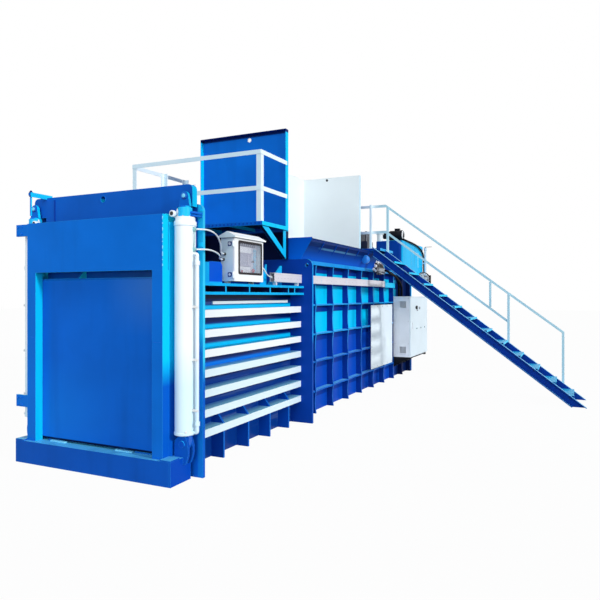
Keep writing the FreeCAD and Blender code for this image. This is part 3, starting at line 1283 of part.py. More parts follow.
def gate_valve_block():
    """Valve block of the gate cylinders, bolted on the top flange beside the tray."""
    x0 = TOP_FLANGE_OUT
    low = BOX_TOP - TOP_FLANGE_T
    middle = x0 + GATE_VALVE_W / 2
    body = box(x0, x0 + GATE_VALVE_W, GATE_VALVE_Y, GATE_VALVE_Y + GATE_VALVE_L, low, low + 80)
    coils = [rod(24, 90, middle, GATE_VALVE_Y + 60 + 100 * k, low + 80, Z_AXIS) for k in range(4)]
    plugs = [rod(16, 40, middle, GATE_VALVE_Y + 110 + 100 * k, low - 40, Z_AXIS) for k in range(3)]
    return fused(body, *coils, *plugs)


def oil_cooler():
    """Cooler core on the rear frame's side, with a round shroud round its fan."""
    x0 = RIB_OUT
    y0 = FAN_Y + 60
    core_box = box(x0, FAN_X + SHROUD_R, y0, y0 + 50, FAN_Z - SHROUD_R, FAN_Z + 90)
    shroud = tube(SHROUD_R, FAN_R + 10, 60, FAN_X, FAN_Y, FAN_Z, Y_AXIS)
    shroud = shroud.cut(box(x0 - BIG, x0, -BIG, BIG, -BIG, BIG))
    axle = rod(12, 46, FAN_X, FAN_Y + 14, FAN_Z, Y_AXIS)
    bracket_arm = box(x0 - 20, x0, y0, y0 + 50, BOX_TOP - LEG + 6, BOX_TOP - 6)
    return fused(core_box, shroud, axle, bracket_arm)


def cooler_fan():
    fan = rod(30, 26, FAN_X, FAN_Y - 12, FAN_Z, Y_AXIS)
    fan = fan.cut(rod(12 + FIT, 14, FAN_X, FAN_Y + 0.2, FAN_Z, Y_AXIS))
    for k in range(FAN_BLADES):
        blade = box(-26, 26, -3, 3, 24, FAN_R)
        blade.rotate(V(0, 0, 0), Z_AXIS, 24)
        blade.rotate(V(0, 0, 0), Y_AXIS, 360 / FAN_BLADES * k)
        blade.translate(V(FAN_X, FAN_Y, FAN_Z))
        fan = fan.fuse(blade)
    return fan.removeSplitter()


def suction_pipe():
    high = tank_top - 90
    pipe = rod(26, high - DECK_TOP, PIPE2_X, PIPE2_Y, DECK_TOP, Z_AXIS)
    valve = rod(34, 60, PIPE2_X, PIPE2_Y, high, Z_AXIS)
    branch = rod(20, PIPE2_X - TANK_X1, TANK_X1, PIPE2_Y, high - 300, X_AXIS)
    return fused(pipe, valve, branch)


def valve_lever():
    z = tank_top - 30 + BUTTON_GAP
    handle = box(PIPE2_X - 12, PIPE2_X + LEVER_L, PIPE2_Y - 12, PIPE2_Y + 12, z + 10, z + 18)
    handle = handle.makeFillet(10, edges_along(handle, Z_AXIS, *ALL))
    return fused(handle, rod(12, 10, PIPE2_X, PIPE2_Y, z, Z_AXIS))


parts["oil_tank"] = oil_tank()
parts["pump_set"] = pump_set()
filter_top = tank_top + FILTER_H
parts["return_filter"] = fused(rod(62, FILTER_H, FILTER_X, FILTER_Y, tank_top, Z_AXIS),
                               rod(78, 34, FILTER_X, FILTER_Y, filter_top, Z_AXIS))
parts["valve_manifold"] = valve_manifold()
parts["gate_valve_block"] = gate_valve_block()
parts["oil_cooler"] = oil_cooler()
parts["cooler_fan"] = cooler_fan()
parts["suction_pipe"] = suction_pipe()
parts["valve_lever"] = valve_lever()

# ---------------------------------------------------------------- hoses and cables
lid_top = CAB_TOP + LID_T
valve_side = TOP_FLANGE_OUT + GATE_VALVE_W
tube_side = LIFT_X + LIFT_TUBE_R


def tank_hose():
    """From the tank's cover along its top edge and down its side to the deck."""
    x = TANK_X1 + HOSE_R + 11
    start, end = TANK_Y0 + 95, PIPE2_Y + 40
    return hose([V(TANK_X1 - 50, start, tank_top), V(TANK_X1 - 50, start, tank_top + 46),
                 V(x, start + 150, tank_top + 6), V(x, end - 610, tank_top - 22),
                 V(x, end - 160, tank_top - 120), V(x, end, tank_top - 250), V(x, end, DECK_TOP)], HOSE_R)


def cabinet_hose(shift):
    """From the gate's valve block in a long sag to the cabinet's lid; shift sets two side by side."""
    y0, y1 = GATE_VALVE_Y + 300, CAB_Y0 + 25
    z0, z1 = BOX_TOP - 14, lid_top
    run, drop = y1 - y0, z0 - z1

    def on_way(x, along, down):
        return V(x + shift, y0 + along * run, z0 - down * drop - shift)
    return hose([V(valve_side, y0 - shift, z0), V(valve_side + 40 + shift, y0 - shift, z0),
                 on_way(valve_side + 53, 0.10, 0.01), on_way(valve_side + 53, 0.44, 0.09),
                 on_way(valve_side + 43, 0.71, 0.22),
                 V(valve_side + 28 + shift, y1 - 70 + shift, z1 + 258 - shift),
                 V(valve_side + 18 + shift, y1 + shift, z1 + 138),
                 V(valve_side + 18 + shift, y1 + shift, z1)], HOSE_R)


def box_cable(z, drop, side):
    """From a switch on the lift cylinder, round the portal plate, to the control box."""
    start = V(tube_side + 40, LIFT_Y, z)
    end = V(box_x0 + side, BOX_Y0 - 60, z - drop)
    across, back = end.x - start.x, end.y - start.y

    def on_way(part_x, part_y, fall):
        return V(start.x + part_x * across, start.y + part_y * back, z - fall)
    return hose([V(tube_side, LIFT_Y, z), start, on_way(-0.07, 0.21, -8), on_way(0.15, 0.48, 0.10 * drop),
                 on_way(0.53, 0.75, 0.50 * drop), on_way(0.90, 0.93, 0.86 * drop), end,
                 V(end.x, BOX_Y0, end.z)], CABLE_R)


def tray_cable():
    """From the control box's far side down into the open end of the cable tray."""
    x = box_x0 + 60
    z0, z1 = bz0 + 190, TRAY_Z + TRAY_H / 2
    reach = TRAY_START - by1
    return hose([V(x, by1, z0), V(x, by1 + 0.2 * reach, z0), V(x - 2, by1 + 0.48 * reach, z0 - 34),
                 V(x - 5, by1 + 0.76 * reach, z1), V(x - 5, TRAY_START, z1)], CABLE_R)


parts["hydraulic_hoses"] = group(tank_hose(), cabinet_hose(0.0), cabinet_hose(42.0))
parts["control_cables"] = group(box_cable(SWITCH_CABLE_ZS[0], 150.0, 48.0),
                                box_cable(SWITCH_CABLE_ZS[1], 34.0, 34.0), tray_cable())

# ---------------------------------------------------------------- write the files
for name, shape in parts.items():
    if not shape.isValid():
        raise ValueError("not valid: " + name)
    shape.exportStep("parts/" + name + ".step")
print(len(parts), "nodes")
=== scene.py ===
"""Looks of the horizontal recycling baler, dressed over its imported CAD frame. Metres, +Z up."""

import json
import math

import bmesh
import bpy
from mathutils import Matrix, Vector


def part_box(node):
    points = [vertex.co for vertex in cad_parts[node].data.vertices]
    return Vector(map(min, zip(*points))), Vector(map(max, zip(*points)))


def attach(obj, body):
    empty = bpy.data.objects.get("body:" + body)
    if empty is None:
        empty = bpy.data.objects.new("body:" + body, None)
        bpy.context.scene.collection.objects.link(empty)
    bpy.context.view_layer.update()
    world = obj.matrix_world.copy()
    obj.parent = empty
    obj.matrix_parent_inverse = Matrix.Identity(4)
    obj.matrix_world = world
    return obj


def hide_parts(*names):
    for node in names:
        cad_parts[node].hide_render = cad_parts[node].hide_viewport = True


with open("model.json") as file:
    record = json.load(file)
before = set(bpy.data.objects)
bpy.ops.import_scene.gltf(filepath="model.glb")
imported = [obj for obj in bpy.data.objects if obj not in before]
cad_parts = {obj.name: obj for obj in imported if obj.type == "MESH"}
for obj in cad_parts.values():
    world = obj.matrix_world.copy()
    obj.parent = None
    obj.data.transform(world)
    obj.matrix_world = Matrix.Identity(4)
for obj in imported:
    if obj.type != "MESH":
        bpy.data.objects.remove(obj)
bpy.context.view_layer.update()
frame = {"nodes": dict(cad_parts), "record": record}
scene = bpy.context.scene

# ---------------- camera
IMAGE = 600.0
SENSOR = 36.0
EYE = (3.906, -3.6305, 1.55)
TURN = 23.28  # degrees to the left of +Y, level
LENS = 32.78
CENTRE = (340.0, 296.0)  # the view axis in the 600 x 600 photograph

camera_data = bpy.data.cameras.new("camera")
camera_data.lens = LENS
camera_data.sensor_width = SENSOR
camera_data.shift_x = (IMAGE / 2 - CENTRE[0]) / IMAGE
camera_data.shift_y = (CENTRE[1] - IMAGE / 2) / IMAGE
camera_data.clip_end = 200.0
camera = bpy.data.objects.new("camera", camera_data)
camera.location = EYE
camera.rotation_euler = (math.radians(90), 0, math.radians(TURN))
scene.collection.objects.link(camera)
scene.camera = camera
scene.view_settings.view_transform = "Standard"

# ---------------- light
SKY = 0.38
SKY_TINT = (0.76, 0.89, 1.0)
KEY = 2.05  # low on the +X side, a little to the front
KEY_FROM = Vector((1.0, -0.12, 0.37))
FILL = 1.55  # broad and soft, from the gate side
FILL_FROM = Vector((0.26, -1.0, 0.32))
FLOOR_HALF = 60.0
FLOOR_TONE = (0.62, 0.63, 0.64)
FLOOR_GLOW = 0.97  # share of plain white that the camera sees in the floor


class Tree:
    """Shader nodes of a world or a material."""

    def __init__(self, owner, clear=False):
        owner.use_nodes = True
        self.nodes = owner.node_tree.nodes
        self.links = owner.node_tree.links
        if clear:
            self.nodes.clear()

    def node(self, kind, inputs=(), **values):
        """inputs are pairs of an input's name and its value; values are the node's own settings."""
        n = self.nodes.new("ShaderNode" + kind)
        for key, value in values.items():
            setattr(n, key, value)
        for key, value in inputs:
            n.inputs[key].default_value = value
        return n

    def link(self, *pairs):
        for source, target in pairs:
            self.links.new(source, target)

    def lead(self, value, socket):
        """Sets a socket to a number or a colour, or links another socket to it."""
        if isinstance(value, (int, float)):
            socket.default_value = value
        elif isinstance(value, tuple):
            socket.default_value = (*value, 1)
        else:
            self.link((value, socket))

    def math(self, operation, a, b=0.0):
        n = self.node("Math", operation=operation)
        self.lead(a, n.inputs[0])
        self.lead(b, n.inputs[1])
        return n.outputs[0]

    def shader(self, kind, color, *more):
        return self.node(kind, [("Color", (*color, 1)), *more]).outputs[0]

    def seen_white(self):
        """1 where the camera, a reflection or clear glass looks, 0 for the light on the object."""
        ray = self.node("LightPath").outputs
        seen = self.math("MAXIMUM", ray["Is Camera Ray"], ray["Is Glossy Ray"])
        return self.math("MAXIMUM", seen, ray["Is Transmission Ray"])

    def surface(self, factor, a, b, output):
        """Leads the mix of two shaders to the output."""
        n = self.node("MixShader")
        self.link((factor, n.inputs[0]), (a, n.inputs[1]), (b, n.inputs[2]),
                  (n.outputs[0], self.node(output).inputs["Surface"]))


def world_light():
    """Even light on the object, and plain white behind it."""
    scene.world = bpy.data.worlds.new("studio")
    tree = Tree(scene.world, clear=True)
    tree.surface(tree.seen_white(), tree.shader("Background", SKY_TINT, ("Strength", SKY)),
                 tree.shader("Background", (1, 1, 1)), "OutputWorld")


def lamp(name, strength, source, size):
    """Sun from a direction; size is its spread in degrees."""
    data = bpy.data.lights.new(name, "SUN")
    data.energy = strength
    data.angle = math.radians(size)
    obj = bpy.data.objects.new(name, data)
    obj.rotation_euler = source.to_track_quat("Z", "Y").to_euler()
    scene.collection.objects.link(obj)


def make_floor():
    """Wide white floor that keeps a light shadow of the machine."""
    mesh = bpy.data.meshes.new("floor")
    h = FLOOR_HALF
    mesh.from_pydata([(-h, -h, 0), (h, -h, 0), (h, h, 0), (-h, h, 0)], [], [(0, 1, 2, 3)])
    floor = bpy.data.objects.new("floor", mesh)
    scene.collection.objects.link(floor)
    material = bpy.data.materials.new("floor_white")
    tree = Tree(material, clear=True)
    tree.surface(tree.math("MULTIPLY", tree.seen_white(), FLOOR_GLOW), tree.shader("BsdfDiffuse", FLOOR_TONE),
                 tree.shader("Emission", (1, 1, 1)), "OutputMaterial")
    mesh.materials.append(material)


world_light()
lamp("key", KEY, KEY_FROM, 6.0)
lamp("fill", FILL, FILL_FROM, 50.0)
make_floor()

# ---------------- materials
BLUE = (0.004, 0.14, 0.62)
# painted sunlight: the blue paint as it looks where the sun falls on it
CYAN = (0.002, 0.58, 0.93)
# painted shade: the blue paint as it looks in deep shade
NAVY = (0.002, 0.038, 0.24)
PALE = (0.86, 0.93, 0.95)
MILKY_BLUE = (0.55, 0.7, 0.82)  # white paint in shade
EDGE_HIGHLIGHT = (0.05, 0.48, 0.88)  # painted highlight: blue paint as it catches the light along its edges
LOW_SIDE_SHADOW = ((0.002, 0.105, 0.55), 0.8, 1.02)  # painted shadow: what +X faces on the +X half turn to below these heights
TO_GATE = ("NY", -0.5, -0.8)  # ramp onto the faces that look to the gate side
CHANNEL_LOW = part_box("side_channels")[0].z
CHANNEL_PITCH = 0.182


def scaled(color, k):
    return tuple(min(1.0, c * k) for c in color)


class Shader(Tree):
    """A material whose colour and bump are built up from noise, places and the way that faces look.

    A ramp goes from 0 to 1 between two places along X, Y or Z, or, with N in front of the axis, between
    two shares of the normal along it. A zone is a colour and the ramps that it lies within.
    """

    def __init__(self, name, color, roughness=0.4, metallic=0.0, coat=0.0, specular=0.5):
        self.material = bpy.data.materials.new(name)
        super().__init__(self.material)
        self.skin = self.nodes["Principled BSDF"].inputs
        for key, value in (("Base Color", (*color, 1)), ("Roughness", roughness), ("Metallic", metallic),
                           ("Coat Weight", coat), ("Coat Roughness", 0.12), ("Specular IOR Level", specular)):
            self.skin[key].default_value = value
        self.coords = self.node("TexCoord").outputs["Object"]
        self.geometry = self.node("NewGeometry").outputs
        self.place = self.split(self.coords)
        self.turn = self.split(self.geometry["Normal"])

    def split(self, vector):
        n = self.node("SeparateXYZ")
        self.link((vector, n.inputs[0]))
        return n.outputs

    def noise(self, scale, detail=3.0, stretch=(1, 1, 1)):
        mapping = self.node("Mapping", [("Scale", stretch)])
        n = self.node("TexNoise", [("Scale", scale), ("Detail", detail)])
        self.link((self.coords, mapping.inputs["Vector"]), (mapping.outputs[0], n.inputs["Vector"]))
        return n.outputs["Fac"]

    def remap(self, value, low, high, most=1.0):
        n = self.node("MapRange", [("From Min", low), ("From Max", high), ("To Max", most)], clamp=True)
        self.link((value, n.inputs["Value"]))
        return n.outputs["Result"]

    def mix(self, factor, a, b):
        """a and b are colours or sockets; factor is a socket."""
        n = self.node("Mix", data_type="RGBA")
        for value, place in ((factor, 0), (a, 6), (b, 7)):
            self.lead(value, n.inputs[place])
        return n.outputs[2]

    def shades(self, factor, color, low, high):
        return self.mix(factor, scaled(color, low), scaled(color, high))

    def cloud(self, scale, detail=4.0, low=0.3, high=0.7):
        return self.remap(self.noise(scale, detail), low, high)

    def streaks(self, scale, stretch, low, high, most):
        return self.remap(self.noise(scale, 3.0, stretch), low, high, most)

    def ramp(self, axis, start, end):
        source = self.turn[axis[1]] if axis[0] == "N" else self.place[axis]
        return self.remap(source, start, end)

    def within(self, *ramps):
        """Product of ramps."""
        total = self.ramp(*ramps[0])
        for ramp in ramps[1:]:
            total = self.math("MULTIPLY", total, self.ramp(*ramp))
        return total

    def past(self, place, axis="Z"):
        """0 before a place along an axis, 1 past it."""
        return self.ramp(axis, place - 0.001, place + 0.001)

    def zoned(self, tone, zones):
        for color, *ramps in zones:
            tone = self.mix(self.within(*ramps), tone, color)
        return tone

    def edge_highlights(self, tone, share, radius=0.006):
        """Paints a highlight along the edges, found from how far a rounded normal leans away from the true
        one.
        """
        rounded = self.node("Bevel", [("Radius", radius)], samples=4)
        dot = self.node("VectorMath", operation="DOT_PRODUCT")
        self.link((rounded.outputs[0], dot.inputs[0]), (self.geometry["True Normal"], dot.inputs[1]))
        return self.mix(self.remap(dot.outputs["Value"], 0.97, 0.75, share), tone, EDGE_HIGHLIGHT)

    def paint(self, tone, height=None, strength=0.0, depth=0.0006):
        """Gives the material its tone, and a bump where there is a height."""
        self.link((tone, self.skin["Base Color"]))
        if height:
            n = self.node("Bump", [("Strength", strength), ("Distance", depth)])
            self.link((height, n.inputs["Height"]), (n.outputs[0], self.skin["Normal"]))
        return self.material

    def grained(self, tone, scale=160.0, strength=0.08):
        return self.paint(tone, self.noise(scale, 2.0), strength)


def enamel(name, face=BLUE, side=CYAN, top=CYAN, inside=None, side_shadow_low=None, zones=(), over=(),
           under=(0.002, 0.014, 0.09), streaks=0.35, roughness=0.34, edge_highlight=0.55):
    """Sprayed gloss enamel: cloudy tone, faint runs, orange peel, thin painted highlights along the edges.

    face is the colour of faces turned to the gate side, side the painted sunlight on those turned to +X, top
    the painted light on level ones, under the painted shade on those turned down.
    inside is the ramp of the faces that are painted pale. zones lie under the runs and the painted edge
    highlights, those in over hide them.
    """
    s = Shader(name, face, roughness, specular=0.035)
    cloud = s.cloud(1.7, 4, 0.3, 0.72)
    runs = s.streaks(5, (1, 1, 0.12), 0.52, 0.75, streaks)
    tone = s.shades(cloud, face, 0.9, 1.1)
    # painted sunlight on faces turned to +X (not those leaning down), with painted shadow low down on the +X
    # half
    turned = side
    if side_shadow_low:
        turned = s.mix(s.math("MAXIMUM", s.ramp("Z", *side_shadow_low[1:]), s.ramp("X", 0.1, 0)), side_shadow_low[0], side)
    lean = s.math("ADD", s.turn["X"], s.math("MULTIPLY", s.math("MINIMUM", s.turn["Z"], 0), 0.8))
    tone = s.mix(s.remap(lean, 0.58, 0.84), tone, turned)
    # painted light on level tops, painted shade on faces turned down
    tone = s.mix(s.ramp("NZ", 0.62, 0.86), tone, top)
    tone = s.mix(s.ramp("NZ", -0.62, -0.86), tone, under)
    tone = s.zoned(tone, zones)
    tone = s.mix(runs, tone, s.shades(cloud, face, 0.55, 0.75))
    # painted highlight along the edges
    tone = s.zoned(s.edge_highlights(tone, edge_highlight), over)
    if inside:
        tone = s.mix(s.ramp(*inside), tone, s.shades(cloud, PALE, 0.96, 1))
    return s.grained(tone, 140, 0.1)


def wall_paint():
    """Chamber wall between the channels: painted sunlight in a band just above each channel, painted shadow
    in navy under each channel and below about 0.85 m.
    """
    s = Shader("chamber_blue", NAVY, 0.3, specular=0.12)
    row = s.math("DIVIDE", s.math("SUBTRACT", s.place["Z"], CHANNEL_LOW), CHANNEL_PITCH)
    # painted sunlight: the band just above each channel, on +X faces from 0.86 to 1.5 m
    lit = s.math("MULTIPLY", s.remap(s.math("FRACT", row), 0.64, 0.54),
                 s.within(("Z", 0.82, 0.86), ("Z", 1.52, 1.5), ("NX", 0.6, 0.8)))
    # painted reflections: lighter streaks in the shadowed wall
    dark = s.mix(s.streaks(2.4, (1, 0.5, 9), 0.52, 0.74, 0.4), NAVY, (0.16, 0.24, 0.42))
    # painted shade, nearly black, above about 1.52 m
    dark = s.mix(s.ramp("Z", 1.515, 1.53), dark, (0.001, 0.01, 0.06))
    # painted shadow: plain blue instead of the sunlit cyan below 1 m
    bright = s.mix(s.ramp("Z", 1, 1.02), (0.002, 0.2, 0.8), CYAN)
    return s.grained(s.edge_highlights(s.mix(lit, dark, bright), 0.4), 140, 0.1)


def lip_paint():
    """Flared lip: deep blue skin in painted shade, darker upward and nearly black under its rim, with long
    soft painted reflection streaks and a painted highlight band.
    """
    s = Shader("lip_blue", BLUE, 0.42, specular=0.01)
    # painted reflection: lighter streaks high on the skin
    reflection_streak = s.streaks(2, (1, 0.35, 7), 0.5, 0.72, 0.45)
    # painted highlight: a lighter band along the skin
    highlight_band = s.within(("Z", 2.15, 2.156), ("Z", 2.182, 2.172), ("Y", 2.7, 2.9), ("Y", 4.3, 3.7))
    # painted shade: the skin darkens upward, nearly black just under the rim
    skin = s.mix(s.ramp("Z", 2.03, 2.15), (0.003, 0.105, 0.62), (0.002, 0.034, 0.22))
    skin = s.mix(s.ramp("Z", 2.17, 2.18), skin, (0.002, 0.018, 0.12))
    skin = s.mix(s.math("MULTIPLY", reflection_streak, s.ramp("Z", 2.1, 2.15)), skin, (0.02, 0.1, 0.28))
    skin = s.mix(s.math("MULTIPLY", highlight_band, 0.7), skin, (0.08, 0.26, 0.46))
    # gate-side end faces darker towards the top
    front = s.mix(s.ramp("Z", 2.02, 2.26), (0.002, 0.12, 0.62), (0.002, 0.075, 0.46))
    tone = s.mix(s.ramp("NY", -0.6, -0.85), skin, front)
    tone = s.mix(s.ramp("NZ", 0.3, 0.6), tone, (0.003, 0.05, 0.26))
    return s.grained(s.edge_highlights(tone, 0.35, 0.005), 120)


def semi_gloss(name, color, roughness=0.35, spread=0.05, bump=0.08, specular=0.3):
    """Even paint or coating with a faint cloud and fine grain."""
    s = Shader(name, color, roughness, coat=min(0.08, specular * 0.3), specular=specular)
    return s.grained(s.shades(s.cloud(2.6), color, 1 - spread, 1 + spread), 180, bump)


def white_enamel(name, color, zones=(), over=()):
    """White paint, bluer in its streaks, and milky blue in painted shade where it faces down; zones as in
    enamel.
    """
    s = Shader(name, color, 0.28, coat=0.06, specular=0.25)
    tone = s.shades(s.cloud(2.2), color, 0.97, 1.03)
    tone = s.mix(s.streaks(9, (1, 1, 0.06), 0.55, 0.8, 0.25), tone, MILKY_BLUE)
    # painted shade where it faces down
    tone = s.mix(s.ramp("NZ", 0.2, -0.7), s.zoned(tone, zones), MILKY_BLUE)
    return s.grained(s.zoned(tone, over))


def metal(name, color, roughness, along, bump=0.15):
    """Machined or drawn metal with fine upright lines; along is the noise's scale in Z."""
    s = Shader(name, color, roughness, metallic=1)
    lines = s.noise(90, 3, (1, 1, along))
    return s.paint(s.shades(s.remap(lines, 0.3, 0.7), color, 0.8, 1.08), lines, bump, 0.0004)


def channel_paint():
    """White enamel on the channels' faces over blue flanges, bluish on faces turned to the gate side. Painted
    light: the white paler below about 0.9 m (painted shadow), flange tops cyan above 1 m (painted sunlight),
    darker towards the wall and navy underneath (painted shade).
    """
    s = Shader("channel_white", (0.86, 0.89, 0.92), 0.3, coat=0.04, specular=0.25)
    high = s.ramp("Z", 0.86, 1)
    # painted shadow: paler, bluer white below about 0.9 m
    white = s.mix(high, (0.74, 0.88, 0.92), s.mix(s.cloud(2, 3), (0.88, 0.92, 0.93), (0.93, 0.95, 0.95)))
    # painted shade on the lower flanges' tops, darker towards the wall
    inner = s.mix(s.ramp("X", 0.67, 0.77), (0.05, 0.28, 0.66), (0.32, 0.8, 1))
    # painted sunlight on flange tops above 1 m, painted shade underneath
    flange = s.mix(s.ramp("NZ", 0, -0.5), s.mix(high, inner, CYAN), NAVY)
    tone = s.mix(s.remap(s.math("ABSOLUTE", s.turn["Z"]), 0.5, 0.8), white, flange)
    return s.grained(s.mix(s.ramp("NY", -0.6, -0.85), tone, (0.3, 0.55, 0.8)))


def rail_coat():
    """Pale rails: nearly white round the platform, light blue down the stairs."""
    s = Shader("rail_paint", (0.7, 0.82, 0.9), 0.35, coat=0.04, specular=0.25)
    cloud = s.cloud(2.6)
    white = s.mix(cloud, (0.62, 0.8, 0.9), (0.72, 0.86, 0.92))
    # painted sunlight: whiter on faces turned to +X
    white = s.mix(s.ramp("NX", 0.4, 0.8), white, (0.84, 0.92, 0.95))
    stair = s.mix(cloud, (0.38, 0.62, 0.72), (0.46, 0.68, 0.76))
    stair = s.mix(s.ramp("NZ", 0.4, 0.8), stair, (0.48, 0.64, 0.7))
    return s.grained(s.mix(s.ramp("X", 0.68, 0.8), white, stair), 170)


def banded_paint(name, split, below, above):
    """Paint of two colours that meet at one height, each with a faint cloud."""
    s = Shader(name, above, 0.34, specular=0.15)
    cloud = s.cloud(2.6)
    tone = s.mix(s.past(split), s.shades(cloud, below, 0.92, 1.05), s.shades(cloud, above, 0.92, 1.05))
    return s.grained(tone)


def tray_paint():
    """Grey cable tray, dark underneath in painted shade, its end box in the machine's blue, dark with painted
    sunlight on its +X faces.
    """
    s = Shader("tray_grey", (0.66, 0.64, 0.7), 0.45, specular=0.2)
    grey = s.mix(s.cloud(3, 3), (0.66, 0.62, 0.68), (0.74, 0.7, 0.74))
    # painted shade on faces turned down
    grey = s.mix(s.ramp("NZ", -0.3, -0.8), grey, (0.02, 0.03, 0.08))
    # end box: dark blue, cyan in painted sunlight on +X faces
    box = s.mix(s.ramp("NX", 0.3, 0.8), scaled(BLUE, 0.5), CYAN)
    return s.grained(s.mix(s.past(5.506, "Y"), grey, box))


def glass():
    s = Shader("window", (0.62, 0.66, 0.78), 0.06)
    s.skin["Alpha"].default_value = 0.22
    return s.paint(s.mix(s.cloud(6, 3, 0.35), (0.52, 0.55, 0.68), (0.7, 0.74, 0.84)))


EVEN = {  # colour, roughness, spread, bump, specular
    "cabinet_paint": ((0.8, 0.84, 0.88), 0.45, 0.03, 0.2),
    "tray_metal": ((0.62, 0.68, 0.78), 0.4),
    "black_paint": ((0.006, 0.007, 0.012), 0.4, 0.3, 0.08, 0.1),
    "hose_rubber": ((0.003, 0.003, 0.004), 0.6, 0.3, 0.3, 0.04),
    "cable_sheath": ((0.82, 0.85, 0.86), 0.4),
    "panel_plastic": ((0.6, 0.62, 0.7), 0.45),
    "screen": ((0.33, 0.33, 0.42), 0.2),
    "green_plastic": ((0.02, 0.32, 0.06), 0.25),
    "red_plastic": ((0.55, 0.02, 0.02), 0.25),
    "black_plastic": ((0.015, 0.016, 0.02), 0.4, 0.3),
    "filter_plastic": ((0.8, 0.81, 0.8), 0.4),
}
slots = {name: semi_gloss(name, *look) for name, look in EVEN.items()}
slots.update({
    "blue_paint": enamel("blue_paint", side_shadow_low=LOW_SIDE_SHADOW),
    "white_paint": white_enamel("white_paint", (0.92, 0.95, 0.96)),
    "rail_paint": rail_coat(),
    "steel": metal("steel", (0.48, 0.5, 0.54), 0.34, 0.1),
    "chrome_rod": metal("chrome_rod", (0.75, 0.77, 0.8), 0.12, 0.05, 0.05),
    "window": glass(),
})
